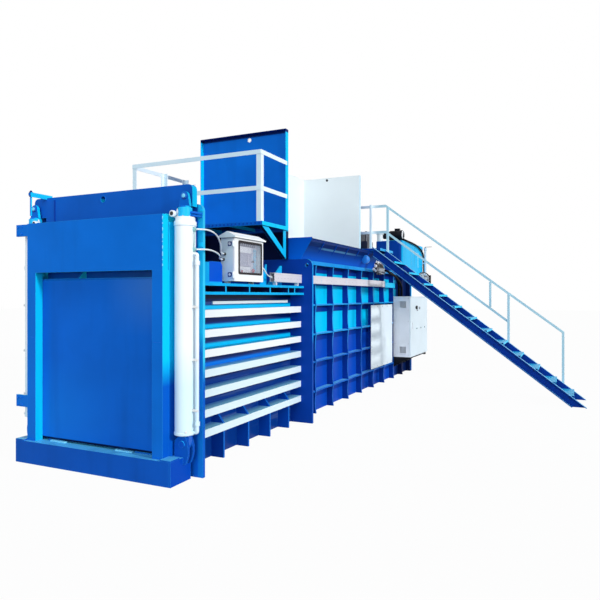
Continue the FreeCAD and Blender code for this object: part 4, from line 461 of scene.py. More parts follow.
# Enamel entries: face is the colour of faces turned to the gate side, side the painted sunlight on +X faces,
# top the painted light on level tops; zones and over add painted shadows and painted light as noted.
own = {  # nodes with a look of their own
    "side_channels": channel_paint(),
    "cable_tray": tray_paint(),
    # painted shadow below about 1 m and painted shade on faces turned to -X; blue paint below 0.392 m
    "lift_tubes": white_enamel(
        "tube_white", (0.95, 0.97, 0.97),
        zones=[((0.7, 0.89, 0.96), ("Z", 1.15, 0.8)), ((0.42, 0.72, 0.92), ("NX", -0.15, -0.75))],
        over=[((0.004, 0.11, 0.55), ("Z", 0.393, 0.391))]),
    "cylinder_pins": enamel("pin_blue", (0.004, 0.08, 0.48), side=(0.004, 0.3, 0.8)),
    # above the split, the blue gland in its sunlit colour (painted light)
    "lift_glands": banded_paint("gland_paint", 2.2135, (0.9, 0.94, 0.96), (0.01, 0.52, 0.95)),
    # darker +X end in painted shade, top in painted light
    "gate_sill": enamel("sill_blue", (0.004, 0.088, 0.46), side=(0.002, 0.066, 0.46), top=(0.1, 0.52, 0.86)),
    "gate_frame": enamel("frame_blue", (0.004, 0.15, 0.63), side=(0.003, 0.56, 0.9), side_shadow_low=LOW_SIDE_SHADOW),
    # bright painted sunlight on +X faces; a painted shadow, nearly black, along the gate side's foot below
    # 0.24 m
    "gate_panel": enamel(
        "gate_blue", (0.004, 0.122, 0.58), side=(0.02, 0.9, 1),
        zones=[((0.005, 0.165, 0.66), ("X", 0.2, -0.6), ("Z", 1, 0.5), TO_GATE),
               ((0.03, 0.15, 0.52), ("X", 0.1, 0.6), ("Z", 1.2, 1.6), TO_GATE),
               ((0.001, 0.006, 0.035), ("Z", 0.241, 0.235), TO_GATE)]),
    "gate_beam": enamel("beam_blue", (0.006, 0.11, 0.53)),
    "gate_pins": banded_paint("gate_pin_paint", 2.3735, (0.01, 0.05, 0.3), (0.02, 0.16, 0.6)),
    # the outer edge's gate-side face lighter blue, cyan in painted sunlight above about 1.2 m
    "portal_plate": enamel(
        "portal_blue", (0.003, 0.11, 0.58), side=(0.04, 0.6, 0.9), side_shadow_low=LOW_SIDE_SHADOW,
        zones=[((0.006, 0.19, 0.68), ("X", 0.94, 0.955), TO_GATE),
               ((0.012, 0.52, 0.9), ("X", 0.94, 0.955), TO_GATE, ("Z", 1.06, 1.24))]),
    "chamber_plates": wall_paint(),
    # painted shadow, nearly black, deepening from y 5.7 m to 6.9 m
    "floor_bearers": enamel(
        "foot_blue", (0.002, 0.06, 0.42), side=(0.004, 0.12, 0.58), top=(0.02, 0.16, 0.5),
        over=[((0.002, 0.008, 0.06), ("Y", 5.7, 6.9))]),
    # a painted shade band, nearly black, on gate-side faces from 1.59 to 1.64 m
    "top_beams": enamel(
        "ladder_blue", (0.003, 0.085, 0.5), side=(0.004, 0.44, 0.86), top=(0.02, 0.62, 0.95),
        zones=[((0.001, 0.01, 0.07), ("NY", -0.5, -0.9), ("Z", 1.586, 1.59), ("Z", 1.648, 1.644)),
               ((0.003, 0.095, 0.62), ("NY", -0.9, -0.5), ("X", 0.76, 0.762), ("Y", 0.554, 0.556),
                ("Z", 1.68, 1.69))]),
    # gate-side face in painted shade; +X faces in painted sunlight, painted shadow below about 1 m
    "mid_plate": enamel("mid_blue", (0.003, 0.048, 0.36), side=(0.004, 0.34, 0.86),
                        side_shadow_low=((0.004, 0.07, 0.42), 0.96, 1.06), edge_highlight=0.35),
    # painted shadow: navy bands under each belt, darker +X faces below about 1 m, nearly black from y 6.4 m
    # on
    "press_plates": enamel(
        "wall_blue", (0.003, 0.04, 0.3), side_shadow_low=((0.003, 0.07, 0.5), 1.02, 1.06),
        zones=[((0.002, 0.036, 0.3), ("Z", z - 0.105, z - 0.095), ("Z", z + 0.01, z))
               for z in (0.29, 0.68, 1.045, 1.43, 1.79, 1.96)],
        over=[((0.002, 0.012, 0.08), ("Y", 6.4, 6.7))]),
    # gate-side faces dark in painted shade, tops in painted light, nearly black painted shadow from y 6.4 m
    # on
    "press_ribs": enamel("rib_blue", (0.003, 0.044, 0.33), side=(0.01, 0.3, 0.76), top=(0.16, 0.62, 0.98),
                         side_shadow_low=LOW_SIDE_SHADOW, over=[((0.002, 0.01, 0.07), ("Y", 6.4, 6.7))]),
    # painted shade, nearly black, below 2.35 m under the deck, and a painted shadow along the top above 3.57
    # m
    "hopper_front": enamel(
        "pan_blue", (0.004, 0.15, 0.64), inside=("NY", 0.5, 0.8),
        over=[((0.002, 0.008, 0.05), ("Z", 2.37, 2.34)), ((0.003, 0.02, 0.14), ("Z", 3.565, 3.58))]),
    "hopper_rear": enamel("hopper_rear_blue", inside=TO_GATE, side=(0.62, 0.84, 0.92), edge_highlight=0.15),
    "hopper_left": enamel("hopper_left_blue", inside=("NX", 0.5, 0.8), edge_highlight=0.15),
    "loading_lip": lip_paint(),
    # undersides nearly black in painted shade, gate-side faces below 2.33 m in painted shade
    "platform_deck": enamel(
        "deck_blue", (0.003, 0.125, 0.6), side=(0.004, 0.6, 0.97), under=(0.001, 0.004, 0.02),
        zones=[((0.002, 0.01, 0.06), ("NY", -0.5, -0.9), ("Z", 2.34, 2.32))]),
    # gate-side faces dark in painted shade, tops and +X faces in painted light
    "stair_frame": enamel("stair_blue", (0.002, 0.036, 0.29), side=(0.03, 0.4, 0.8), top=(0.22, 0.66, 0.93)),
    "stair_treads": enamel("tread_blue", (0.002, 0.028, 0.18), top=(0.03, 0.5, 0.88)),
    "oil_tank": enamel("tank_blue", (0.003, 0.052, 0.34), side=(0.004, 0.48, 0.86)),
    "valve_manifold": metal("manifold_steel", (0.1, 0.105, 0.12), 0.4, 0.2),
    "gate_valve_block": metal("valve_steel", (0.16, 0.16, 0.18), 0.4, 0.2),
    "suction_pipe": semi_gloss("pipe_grey", (0.52, 0.66, 0.76), 0.4),
    "cooler_fan": semi_gloss("fan_grey", (0.62, 0.66, 0.68), 0.4),
    "cabinet_case": banded_paint("case_grey", 0.4095, (0.003, 0.004, 0.008), (0.74, 0.79, 0.86)),
    "cabinet_door": semi_gloss("door_grey", (0.7, 0.8, 0.86), 0.45, 0.03, 0.2),
    "sign_panel": semi_gloss("sign_white", (0.8, 0.89, 0.94), 0.35, 0.03, 0.12, 0.2),
    # pale blue gate-side face in painted shade, +X faces and top in painted light, undersides dark in painted
    # shade
    "control_box_case": enamel(
        "box_grey", (0.76, 0.94, 1), side=(0.93, 0.94, 0.95), top=(0.93, 0.94, 0.95),
        under=(0.02, 0.03, 0.05), streaks=0.04, edge_highlight=0, roughness=0.4),
    "control_box_door": semi_gloss("box_white", (0.93, 0.94, 0.94), 0.4, 0.02, 0.15),
}

for row in frame["record"]["subparts"]:
    node = frame["nodes"][row["node"]]
    material = own.get(row["node"], slots[row["material_slot"]])
    if not node.material_slots:
        node.data.materials.append(material)
    for slot in node.material_slots:
        slot.material = material

# ---------------- hoses and cables
HOSE = (0.018, "hose_rubber", "hydraulic_hoses", "medium")  # radius, slot, CAD node, stiffness
CABLE = (0.007, "cable_sheath", "control_cables", "limp")


def lay_cord(name, kind, points):
    """One smooth line through the route's points, as CAD has it."""
    radius, slot, node, stiffness = kind
    data = bpy.data.curves.new(name, "CURVE")
    data.dimensions = "3D"
    data.bevel_depth = radius
    data.bevel_resolution = 5
    data.resolution_u = 16
    data.use_fill_caps = True
    spline = data.splines.new("NURBS")
    spline.points.add(len(points) - 1)
    for target, p in zip(spline.points, points):
        target.co = (*p, 1)
    spline.order_u = 3
    spline.use_endpoint_u = True
    data.materials.append(slots[slot])
    obj = bpy.data.objects.new(name, data)
    scene.collection.objects.link(obj)
    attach(obj, "frame")
    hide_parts(node)


lay_cord("tank_hose", HOSE,
         [(0.6, 7.25, 2.696), (0.6, 7.25, 2.742), (0.679, 7.4, 2.702), (0.679, 8.19, 2.674),
          (0.679, 8.64, 2.576), (0.679, 8.8, 2.446), (0.679, 8.8, 2.016)])
lay_cord("cabinet_hose_near", HOSE,
         [(0.852, 5.34, 1.99), (0.892, 5.34, 1.99), (0.905, 5.428, 1.986), (0.905, 5.729, 1.95),
          (0.895, 5.968, 1.891), (0.88, 6.155, 1.8), (0.87, 6.225, 1.68), (0.87, 6.225, 1.542)])
lay_cord("cabinet_hose_far", HOSE,
         [(0.852, 5.298, 1.99), (0.934, 5.298, 1.99), (0.947, 5.428, 1.944), (0.947, 5.729, 1.908),
          (0.937, 5.968, 1.849), (0.922, 6.197, 1.758), (0.912, 6.267, 1.68), (0.912, 6.267, 1.542)])
lay_cord("switch_cable_high", CABLE,
         [(0.988, 0.07, 2.106), (1.028, 0.07, 2.106), (1.044, 0.209, 2.114), (0.992, 0.387, 2.091),
          (0.903, 0.565, 2.031), (0.816, 0.684, 1.977), (0.793, 0.73, 1.956), (0.793, 0.79, 1.956)])
lay_cord("switch_cable_low", CABLE,
         [(0.988, 0.07, 1.938), (1.028, 0.07, 1.938), (1.045, 0.209, 1.946), (0.99, 0.387, 1.935),
          (0.896, 0.565, 1.921), (0.804, 0.684, 1.909), (0.779, 0.73, 1.904), (0.779, 0.79, 1.904)])
lay_cord("tray_lead", CABLE,
         [(0.805, 1.315, 1.884), (0.805, 1.386, 1.884), (0.803, 1.486, 1.85), (0.8, 1.586, 1.76),
          (0.8, 1.672, 1.76)])

# ---------------- detail pieces
AXES = {"X": Vector((1, 0, 0)), "Y": Vector((0, 1, 0)), "Z": Vector((0, 0, 1))}
TO_FRONT = (0, -1, 0)
SHARP_FROM = math.radians(35)
BEVEL_FROM = math.radians(40)
BOTH = (-1, 1)  # -X and +X sides
BEAD = ((0, 0.2), (0.2, 0.75), (0.5, 1), (0.8, 0.75), (1, 0.2))  # a weld bead: length, width


def basis(axis):
    """The axis, a name or a vector, and two directions square to it."""
    w = AXES[axis] if isinstance(axis, str) else Vector(axis).normalized()
    u = w.orthogonal().normalized()
    return w, u, w.cross(u)


def circle(centre, u, v, radius, count):
    angles = (2 * math.pi * i / count for i in range(count))
    return [centre + (u * math.cos(t) + v * math.sin(t)) * radius for t in angles]


def around(centre, axis, radius, degrees):
    """Point at an angle round a centre, in the plane square to X, Y or Z."""
    point = list(centre)
    first, second = (k for k in range(3) if "XYZ"[k] != axis)
    point[first] += radius * math.cos(math.radians(degrees))
    point[second] += radius * math.sin(math.radians(degrees))
    return point


def outline(node, grow):
    """y0, y1, z0, z1 of a node, grown on all sides."""
    low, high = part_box(node)
    return low.y - grow, high.y + grow, low.z - grow, high.z + grow


class Build:
    """A mesh put together from simple solids, metres."""

    def __init__(self):
        self.bm = bmesh.new()

    def solid(self, loops, closed=False):
        """Skin over rings of the same number of points, its ends capped or, when closed, joined."""
        rings = [[self.bm.verts.new(p) for p in loop] for loop in loops]
        for a, b in zip(rings, rings[1:] + (rings[:1] if closed else [])):
            for i in range(len(a)):
                j = (i + 1) % len(a)
                self.bm.faces.new((a[i], a[j], b[j], b[i]))
        if not closed:
            self.bm.faces.new(list(reversed(rings[0])))
            self.bm.faces.new(rings[-1])
        return self

    def box(self, x0, x1, y0, y1, z0, z1):
        return self.prism([(x0, y0), (x1, y0), (x1, y1), (x0, y1)], "Z", z0, z1)

    def prism(self, points, axis, start, end):
        """points are in the other two axes, in alphabetical order."""
        k = "XYZ".index(axis)
        return self.solid([[(*p[:k], along, *p[k:]) for p in points] for along in (start, end)])

    def turned(self, base, axis, profile, segments=28):
        """profile is (radius, distance along the axis) from the first end to the last."""
        w, u, v = basis(axis)
        return self.solid([circle(Vector(base) + w * along, u, v, max(radius, 1e-4), segments)
                           for radius, along in profile])

    def head(self, base, axis, radius, height, top_radius, top, segments=18):
        """Screw or rivet head: a disc and its rounded top."""
        return self.turned(base, axis, [(radius, 0), (radius, height), (top_radius, top)], segments)

    def hexagon(self, base, axis, across, height):
        r = across / 2 / math.cos(math.pi / 6)
        chamfered = [(r * 0.94, 0), (r, height * 0.12), (r, height * 0.85), (r * 0.9, height)]
        return self.turned(base, axis, chamfered, 6)

    def torus(self, centre, axis, radius, wire, segments=48, sides=10):
        w, u, v = basis(axis)
        ways = circle(Vector(), u, v, 1, segments)
        return self.solid([circle(Vector(centre) + way * radius, way, w, wire, sides) for way in ways],
                          closed=True)

    def tube(self, points, radius, sides=12):
        """Bent pipe through points, its corners rounded."""
        points = [Vector(p) for p in points]
        path = points[:1]
        for a, b, c in zip(points, points[1:], points[2:]):
            r = min(radius * 2.5, (b - a).length / 2, (c - b).length / 2)
            start, end = b + (a - b).normalized() * r, b + (c - b).normalized() * r
            path += [start * (1 - t) ** 2 + b * 2 * t * (1 - t) + end * t * t
                     for t in (0, 0.25, 0.5, 0.75, 1)]
        path += points[-1:]
        _, u, _ = basis(path[1] - path[0])
        loops = []
        for before, p, after in zip(path[:1] + path, path, path[1:] + path[-1:]):
            w = (after - before).normalized()
            u = (u - w * u.dot(w)).normalized()
            loops.append(circle(p, u, w.cross(u), radius, sides))
        return self.solid(loops)

    def window(self, x0, x1, outer, inner, r_out, r_in):
        """Rounded frame on a plane of constant x; outer and inner are (y0, y1, z0, z1)."""
        steps = 6

        def loop(x, edge, r):
            y0, y1, z0, z1 = edge
            corners = ((y1 - r, z1 - r), (y0 + r, z1 - r), (y0 + r, z0 + r), (y1 - r, z0 + r))
            return [around((x, y, z), "X", r, 90 * (quarter + k / steps))
                    for quarter, (y, z) in enumerate(corners) for k in range(steps + 1)]
        return self.solid([loop(x0, outer, r_out), loop(x1, outer, r_out), loop(x1, inner, r_in),
                           loop(x0, inner, r_in)], closed=True)

    def weld(self, start, axis, length, width, pitch):
        """Row of overlapping half-round beads."""
        way = basis(axis)[0]
        for k in range(max(1, int(length / pitch))):
            swell = width * (0.85 + 0.15 * math.sin(k * 2.4))
            self.turned(Vector(start) + way * pitch * (k - 0.12), way,
                        [(swell * share, pitch * 1.24 * along) for along, share in BEAD], 8)
        return self

    def done(self, name, slot, material=None, bevel=0.0015, body="frame"):
        bmesh.ops.recalc_face_normals(self.bm, faces=self.bm.faces)
        mesh = bpy.data.meshes.new(name)
        self.bm.to_mesh(mesh)
        self.bm.free()
        for polygon in mesh.polygons:
            polygon.use_smooth = True
        mesh.set_sharp_from_angle(angle=SHARP_FROM)
        obj = bpy.data.objects.new(name, mesh)
        scene.collection.objects.link(obj)
        if bevel:
            mod = obj.modifiers.new("bevel", "BEVEL")
            mod.width = bevel
            mod.segments = 2
            mod.limit_method = "ANGLE"
            mod.angle_limit = BEVEL_FROM
        mesh.materials.append(material or slots[slot])
        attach(obj, body)


def deep_trim(name, color):
    """Blue trim with hardly any shine."""
    return semi_gloss(name, color, 0.4, 0.05, 0.08, 0.03)


pale = semi_gloss("trim_white", (0.93, 0.94, 0.95), 0.35, 0.02, 0.06, 0.25)
dark_grey = semi_gloss("trim_dark", (0.05, 0.055, 0.07), 0.4, 0.15, 0.1, 0.2)
# trim_navy, trim_blue, trim_cyan and trim_light are the blue paint in painted shade, as it is, in painted
# sunlight, and in painted sunlight with a highlight
navy_trim = semi_gloss("trim_navy", (0.003, 0.03, 0.19), 0.4, 0.1, 0.08, 0.06)
blue_trim = semi_gloss("trim_blue", (0.004, 0.15, 0.66), 0.36, 0.06, 0.08, 0.08)
cyan_trim = semi_gloss("trim_cyan", (0.006, 0.52, 0.9), 0.36, 0.05, 0.08, 0.08)
light_trim = semi_gloss("trim_light", (0.22, 0.68, 0.93), 0.36, 0.05, 0.08, 0.08)
brown = semi_gloss("coil_brown", (0.1, 0.05, 0.025), 0.5, 0.15)


def control_box_details():
    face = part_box("control_panel")[0].x + 0.003  # front of the panel's plate
    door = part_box("control_box_door")[1].x
    near, far = 0.866, 1.176  # the screen's block
    outer, inner = (outline("control_box_window", grow) for grow in (0.004, -0.018))
    rubber = semi_gloss("gasket", (0.018, 0.014, 0.016), 0.6, 0.2, 0.2, 0.2)
    Build().window(door - 0.0005, door + 0.005, outer, inner, 0.022, 0.012).done(
        "window_gasket", "black_plastic", rubber, body="control_door")
    b = Build()
    for k in range(9):
        y = 0.885 + 0.04 * k
        b.prism([(y, 2.052), (y + 0.016, 2.052), (y + 0.031, 2.089), (y + 0.015, 2.089)],
                "X", face, face + 0.007)
    b.done("panel_louvres", "black_plastic", dark_grey, 0.0008)
    b = Build()
    for z0, z1 in ((2.047, 2.092), (1.77, 1.776)):
        b.box(face, face + 0.005, 0.878, 1.265, z0, z1)
    b.done("panel_rails", "panel_plastic", semi_gloss("panel_grey", (0.26, 0.26, 0.3), 0.45), 0.0008)
    Build().window(face + 0.008, face + 0.014, (near, far, 1.852, 1.984), (0.882, 1.108, 1.864, 1.976),
                   0.006, 0.003).done(
        "screen_bezel", "panel_plastic", semi_gloss("bezel_grey", (0.44, 0.42, 0.5), 0.4), 0.001)
    b = Build().box(face, face + 0.015, near, far, 1.986, 2.045)
    for k in range(5):
        b.head((face + 0.015, 0.895 + 0.055 * k, 2.01), "X", 0.006, 0.002, 0.004, 0.0028, 16)
    b.done("panel_header", "panel_plastic", pale, 0.001)
    b = Build().box(face, face + 0.003, 0.872, far, 1.818, 1.846)
    b.box(face, face + 0.003, 1.04, far, 1.782, 1.8175)
    for y in (1.055, 1.09, 1.125):
        b.head((face + 0.003, y, 1.815), "X", 0.008, 0.003, 0.005, 0.005)
    b.done("button_plate", "panel_plastic", pale, 0.001)
    b = Build()
    for k in range(16):
        z = 1.79 + 0.0155 * k
        b.box(face, face + 0.015 + 0.004 * (k % 3), 1.232, 1.256 + 0.006 * (k % 2), z, z + 0.011)
    b.done("terminal_strip", "panel_plastic", light_trim, 0.0008)
    plates, bosses = Build(), Build()
    lock_x, lock_y = 0.849, 0.7845
    a, c = 0.022, 0.018  # half of a square plate, and as far as its corners are cut
    square = [(-a, -c), (-c, -a), (c, -a), (a, -c), (a, c), (c, a), (-c, a), (-a, c)]
    boss = [(0.014, 0), (0.014, 0.003), (0.01, 0.006), (0.004, 0.0065)]
    for z in (2.055, 1.757):
        plates.prism([(lock_x + across, z + up) for across, up in square], "Y", lock_y, lock_y + 0.006)
        bosses.turned((lock_x, lock_y, z), TO_FRONT, boss, 20)
    plates.done("box_lock_plates", "black_plastic", navy_trim)
    bosses.done("box_lock_bosses", "cabinet_paint")
    b = Build()
    for x, y, z, way in ((0.793, 0.79, 1.956, -1), (0.779, 0.79, 1.904, -1), (0.805, 1.315, 1.884, 1)):
        b.hexagon((x, y, z), (0, way, 0), 0.026, 0.008)
        b.turned((x, y + 0.008 * way, z), (0, way, 0),
                 [(0.011, 0), (0.0115, 0.006), (0.0095, 0.015), (0.0075, 0.017)], 20)
    b.done("box_cable_glands", "black_plastic", bevel=0.0006)


LIFT_X, LIFT_Y = 0.9, 0.07  # axes of the two lift cylinders
PORT_X, PORT_Z = 0.822, 2.238  # oil ports of their heads


def lift_details():
    rings, screws, bosses, plugs, pipes, washers, sensors, clips = (Build() for _ in range(8))
    ring = [(0.0876, 0), (0.0925, 0.004), (0.0925, 0.038), (0.0885, 0.0445)]
    foot_ring = [(0.0878, 0), (0.0912, 0.004), (0.0912, 0.022), (0.0878, 0.026)]
    socket_screw = [(0.0075, 0), (0.0075, 0.007), (0.0062, 0.0085), (0.0035, 0.0085), (0.0033, 0.004)]
    boss = [(0.02, 0), (0.02, 0.022), (0.027, 0.026), (0.029, 0.04), (0.027, 0.052), (0.018, 0.054)]
    plug = [(0.017, 0), (0.017, 0.003), (0.013, 0.0045), (0.006, 0.0045)]
    washer = [(0.017, 0), (0.017, 0.003), (0.012, 0.005), (0.006, 0.0055)]
    web = [(0.8, 2.209), (0.85, 2.209), (0.846, 2.262), (0.834, 2.286), (0.822, 2.262)]
    for s in BOTH:
        x = s * LIFT_X
        rings.turned((x, LIFT_Y, 2.132), "Z", ring, 48)
        rings.turned((x, LIFT_Y, 0.3935), "Z", foot_ring, 48)
        for k in range(8):
            screws.turned(around((x, LIFT_Y, 2.2085), "Z", 0.07, 45 * k + 22.5), "Z", socket_screw, 14)
        bosses.turned((s * PORT_X, 0.045, PORT_Z), TO_FRONT, boss, 30)
        bosses.prism([(s * a, z) for a, z in web], "Y", 0.046, 0.056)
        plugs.turned((s * PORT_X, -0.009, PORT_Z), TO_FRONT, plug, 20)
        for z, r in ((2.247, 0.011), (2.222, 0.008)):
            pipes.tube([(s * 0.952, LIFT_Y, z), (s * 0.986, LIFT_Y, z), (s * 0.986, 0.176, z)], r)
        washers.turned((x, 0.0475, 2.39), TO_FRONT, washer, 24)
        for z in (2.106, 1.938):
            sensors.box(s * 0.9868, s, 0.056, 0.084, z - 0.018, z + 0.018)
            sensors.head((s * 0.998, LIFT_Y, z), (s, 0, 0), 0.011, 0.01, 0.009, 0.018)
        lead = [(0.99, 0.066, 2.088), (1.004, 0.06, 2.06), (0.994, 0.064, 1.956)]
        sensors.tube([(s * a, y, z) for a, y, z in lead], 0.0035, 8)
        for z in (0.6, 1.02, 1.46):
            clips.box(s * 0.985, s * 1.044, 0.05, 0.0565, z - 0.011, z + 0.011)
            clips.hexagon((s * 1.024, 0.05, z), TO_FRONT, 0.013, 0.006)
        clips.hexagon((s * 0.96, 0.006, 0.425), (0.6 * s, -0.8, 0), 0.02, 0.01)
    rings.done("tube_rings", "white_paint", own["lift_tubes"])
    screws.done("gland_screws", "steel", bevel=0.0004)
    bosses.done("port_bosses", "white_paint", pale)
    plugs.done("port_plugs", "black_plastic", bevel=0.0004)
    pipes.done("gland_pipes", "blue_paint", blue_trim, 0)
    washers.done("gate_pin_caps", "steel", light_trim, 0.0004, "gate")
    sensors.done("tube_sensors", "filter_plastic", semi_gloss("sensor_teal", (0.3, 0.55, 0.58), 0.4), 0.0006)
    clips.done("pipe_clips", "white_paint", slots["filter_plastic"])


GATE_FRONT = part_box("gate_frame")[0].y  # front of the gate's posts


def gate_frame_details():
    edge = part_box("gate_frame")[1].x + 0.0005
    b = Build()
    z = 2.205
    while z > 1.785:
        length = 0.028 + 0.012 * math.sin(z * 40)
        b.weld((edge, GATE_FRONT, z), (0, 0, -1), length, 0.0052, 0.009)
        z -= length + 0.022
    b.done("head_weld", "blue_paint", light_trim, 0)
    b = Build()
    for x in (-0.798, 0.7):
        b.weld((x, GATE_FRONT, 1.168), "X", 0.098, 0.0026, 0.01)
    b.weld((edge, -0.09, 0.2065), "Y", 0.068, 0.006, 0.009)
    for x in (-0.798, 0.692):
        b.weld((x, GATE_FRONT - 0.001, 0.2065), "X", 0.106, 0.005, 0.01)
    b.done("post_welds", "blue_paint", blue_trim, 0)
    b = Build()
    for x in (-0.469, 0.323):
        b.prism([(x - 0.088, -0.044), (x + 0.088, -0.044), (x + 0.096, -0.036), (x + 0.096, -0.0185),
                 (x - 0.096, -0.0185), (x - 0.096, -0.036)], "Z", 0.2048, 0.2165)
    b.done("rest_pads", "blue_paint", light_trim, 0.0012)


def gate_details():
    b = Build()
    for x, y in ((-0.672, 0.093), (0.672, 0.1615)):
        b.box(x - 0.009, x + 0.009, y, y + 0.0075, 2.243, 2.468)
    b.done("beam_straps", "blue_paint", deep_trim("strap_blue", (0.003, 0.05, 0.34)), body="gate")
    Build().torus((-0.055, 0.0995, 2.432), "Y", 0.031, 0.003).done(
        "beam_hole_rim", "blue_paint", blue_trim, 0, "gate")
    Build().box(-0.7852, -0.7812, -0.069, 0.161, 2.48, 2.524).done(
        "striker_flat", "blue_paint", cyan_trim, 0.0008, "gate")
    x, y = -0.8, -0.055  # the striker's bolt
    b = Build().hexagon((x, y, 2.519), "Z", 0.028, 0.012)
    b.head((x, y, 2.531), "Z", 0.01, 0.008, 0.006, 0.012, 16)
    b.hexagon((x, y, 2.4945), (0, 0, -1), 0.028, 0.012)
    b.done("striker_nuts", "steel", navy_trim, 0.0006, "gate")
    b = Build()
    for s in BOTH:
        b.weld((s * 0.79, 0.163, 2.3), (s, 0, 0), 0.16, 0.004, 0.012)
    b.weld((-0.94, 0.16, 2.4965), "X", 1.88, 0.003, 0.014)
    b.done("beam_welds", "blue_paint", blue_trim, 0, "gate")
    b = Build()
    for z in (0.532, 0.598, 2.132, 2.198):
        for x in (-0.925, -0.875):
            b.hexagon((x, GATE_FRONT, z), TO_FRONT, 0.018, 0.008)
    b.done("lug_bolts", "steel", blue_trim, 0.0006)


def portal_details():
    front, back = (corner.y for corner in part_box("portal_plate"))
    clamps, bolts, welds = Build(), Build(), Build()
    for s in BOTH:
        clamps.box(s * 0.968, s * 1.006, 0.16, 0.176, 1.968, 2.004)
        clamps.box(s * 0.98, s * 1.006, 0.164, 0.176, 2.268, 2.286)
        for z in (0.45, 0.9, 1.35, 1.8, 2.18):
            bolts.hexagon((s * 0.945, front, z), TO_FRONT, 0.022, 0.009)
        welds.weld((s * 0.6725, back + 0.0015, 0.3), "Z", 1.25, 0.005, 0.012)
    clamps.done("cable_clamps", "blue_paint", cyan_trim)
    bolts.done("portal_bolts", "steel", blue_trim, 0.0006)
    welds.done("portal_welds", "blue_paint", navy_trim, 0)


def lip_details():
    foot, head = Vector((0.782, 0, 2.004)), Vector((0.92, 0, 2.254))  # ends of the flared skin
    way = head - foot
    out = Vector((way.z, 0, -way.x)).normalized()

    def sheet(b, corners, start, end):
        b.prism([(p.x, p.z) for p in corners], "Y", start, end)

    b = Build()
    low, high = foot + way * 0.42, foot + way * 0.985
    tip = high + out * 0.02 - way.normalized() * 0.02
    for k in range(5):
        y = 2.78 + 0.42 * k
        sheet(b, (low, low + out * 0.004, tip, high), y, y + 0.008)
    b.done("lip_gussets", "blue_paint", deep_trim("gusset_blue", (0.003, 0.055, 0.36)), 0.0008)
    b = Build()
    low, high = foot + way * 0.9, foot + way * 0.995
    sheet(b, (low, low + out * 0.006, high + out * 0.006, high), 2.402, 4.993)
    b.done("lip_rim", "blue_paint", navy_trim, 0.001)
    dome = [(0.05, 0), (0.062, 0.006), (0.066, 0.016), (0.066, 0.052), (0.06, 0.064), (0.044, 0.071),
            (0.02, 0.074)]
    b = Build().turned((0.893, 4.425, 2.122), TO_FRONT, dome, 40)
    b.prism([(0.842, 2.098), (0.88, 2.078), (0.9, 2.15), (0.868, 2.166)], "Y", 4.428, 4.44)
    b.done("lip_beacon", "blue_paint", semi_gloss("beacon_blue", (0.02, 0.22, 0.72), 0.3, 0.08, 0.06, 0.3))


def tray_details():
    side, top = 0.83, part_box("cable_tray")[1].z  # of the trunking
    joints, lid, screws = Build(), Build(), Build()
    for y in (2.9, 3.75, 4.6):
        joints.box(0.7685, side + 0.0012, y - 0.012, y + 0.012, 1.7095, top + 0.0012)
    for y0, y1 in ((1.674, 2.33), (2.364, 5.504)):
        lid.prism([(side, top - 0.0105), (side + 0.0035, top - 0.0105), (side + 0.0035, top + 0.003),
                   (0.7665, top + 0.003), (0.7665, top + 0.0001), (side, top + 0.0001)], "Y", y0, y1)
        lid.box(0.7705, side - 0.0005, y0, y1, 1.7085, 1.7119)
    for first, pitch, count in ((1.76, 0.075, 8), (2.45, 0.155, 20)):
        for k in range(count):
            screws.head((side, first + pitch * k, 1.752), "X", 0.0045, 0.0022, 0.0028, 0.0034, 12)
    joints.done("tray_joints", "tray_metal", bevel=0.0006)
    grey = semi_gloss("tray_lid_grey", (0.7, 0.68, 0.72), 0.42, 0.04, 0.1, 0.2)
    lid.done("tray_lid", "tray_metal", grey, 0.0006)
    screws.done("tray_screws", "steel", bevel=0)


def platform_details():
    low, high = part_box("platform_deck")
    b = Build()
    for k in range(36):
        b.head((-1.23 + 0.053 * k, low.y, 2.378), TO_FRONT, 0.011, 0.002, 0.007, 0.0035, 14)
    b.done("deck_edge_studs", "blue_paint", deep_trim("stud_blue", (0.003, 0.06, 0.4)), 0)
    b = Build()
    for x in (-0.6, 0.02):
        b.weld((x, 1.7, high.z + 0.0005), "Y", 0.55, 0.003, 0.014)
    b.done("deck_welds", "blue_paint", cyan_trim, 0)
    b = Build()
    for s in BOTH:
        for shape in ([(1.714, 2.3545), (1.852, 2.3545), (2.2715, 2.078), (2.2715, 2.0045)],
                      [(2.208, 2.3545), (2.2715, 2.3545), (2.2715, 2.08), (2.208, 2.12)]):
            b.prism(shape, "X", s * 0.6395, s * 0.644)
    b.done("strut_plates", "blue_paint", cyan_trim, 0.0008)


def stair_details():
    """Two bolts through each stringer under every tread."""
    first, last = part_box("stair_treads")
    top_x, top_z, foot_x = 0.92, 2.335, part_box("stair_frame")[1].x  # line of the flight
    steps, going = 12, 0.2
    b = Build()
    for k in range(steps):
        x = first.x + going / 2 + (last.x - first.x - going) * k / (steps - 1)
        z = top_z - top_z * (x - top_x) / (foot_x - top_x) - 0.07
        for y, way in ((4.662, -1), (5.283, 1)):
            for apart in (-0.035, 0.035):
                b.hexagon((x + apart, y, z), (0, way, 0), 0.018, 0.008)
    b.done("stair_bolts", "steel", navy_trim, 0.0006)


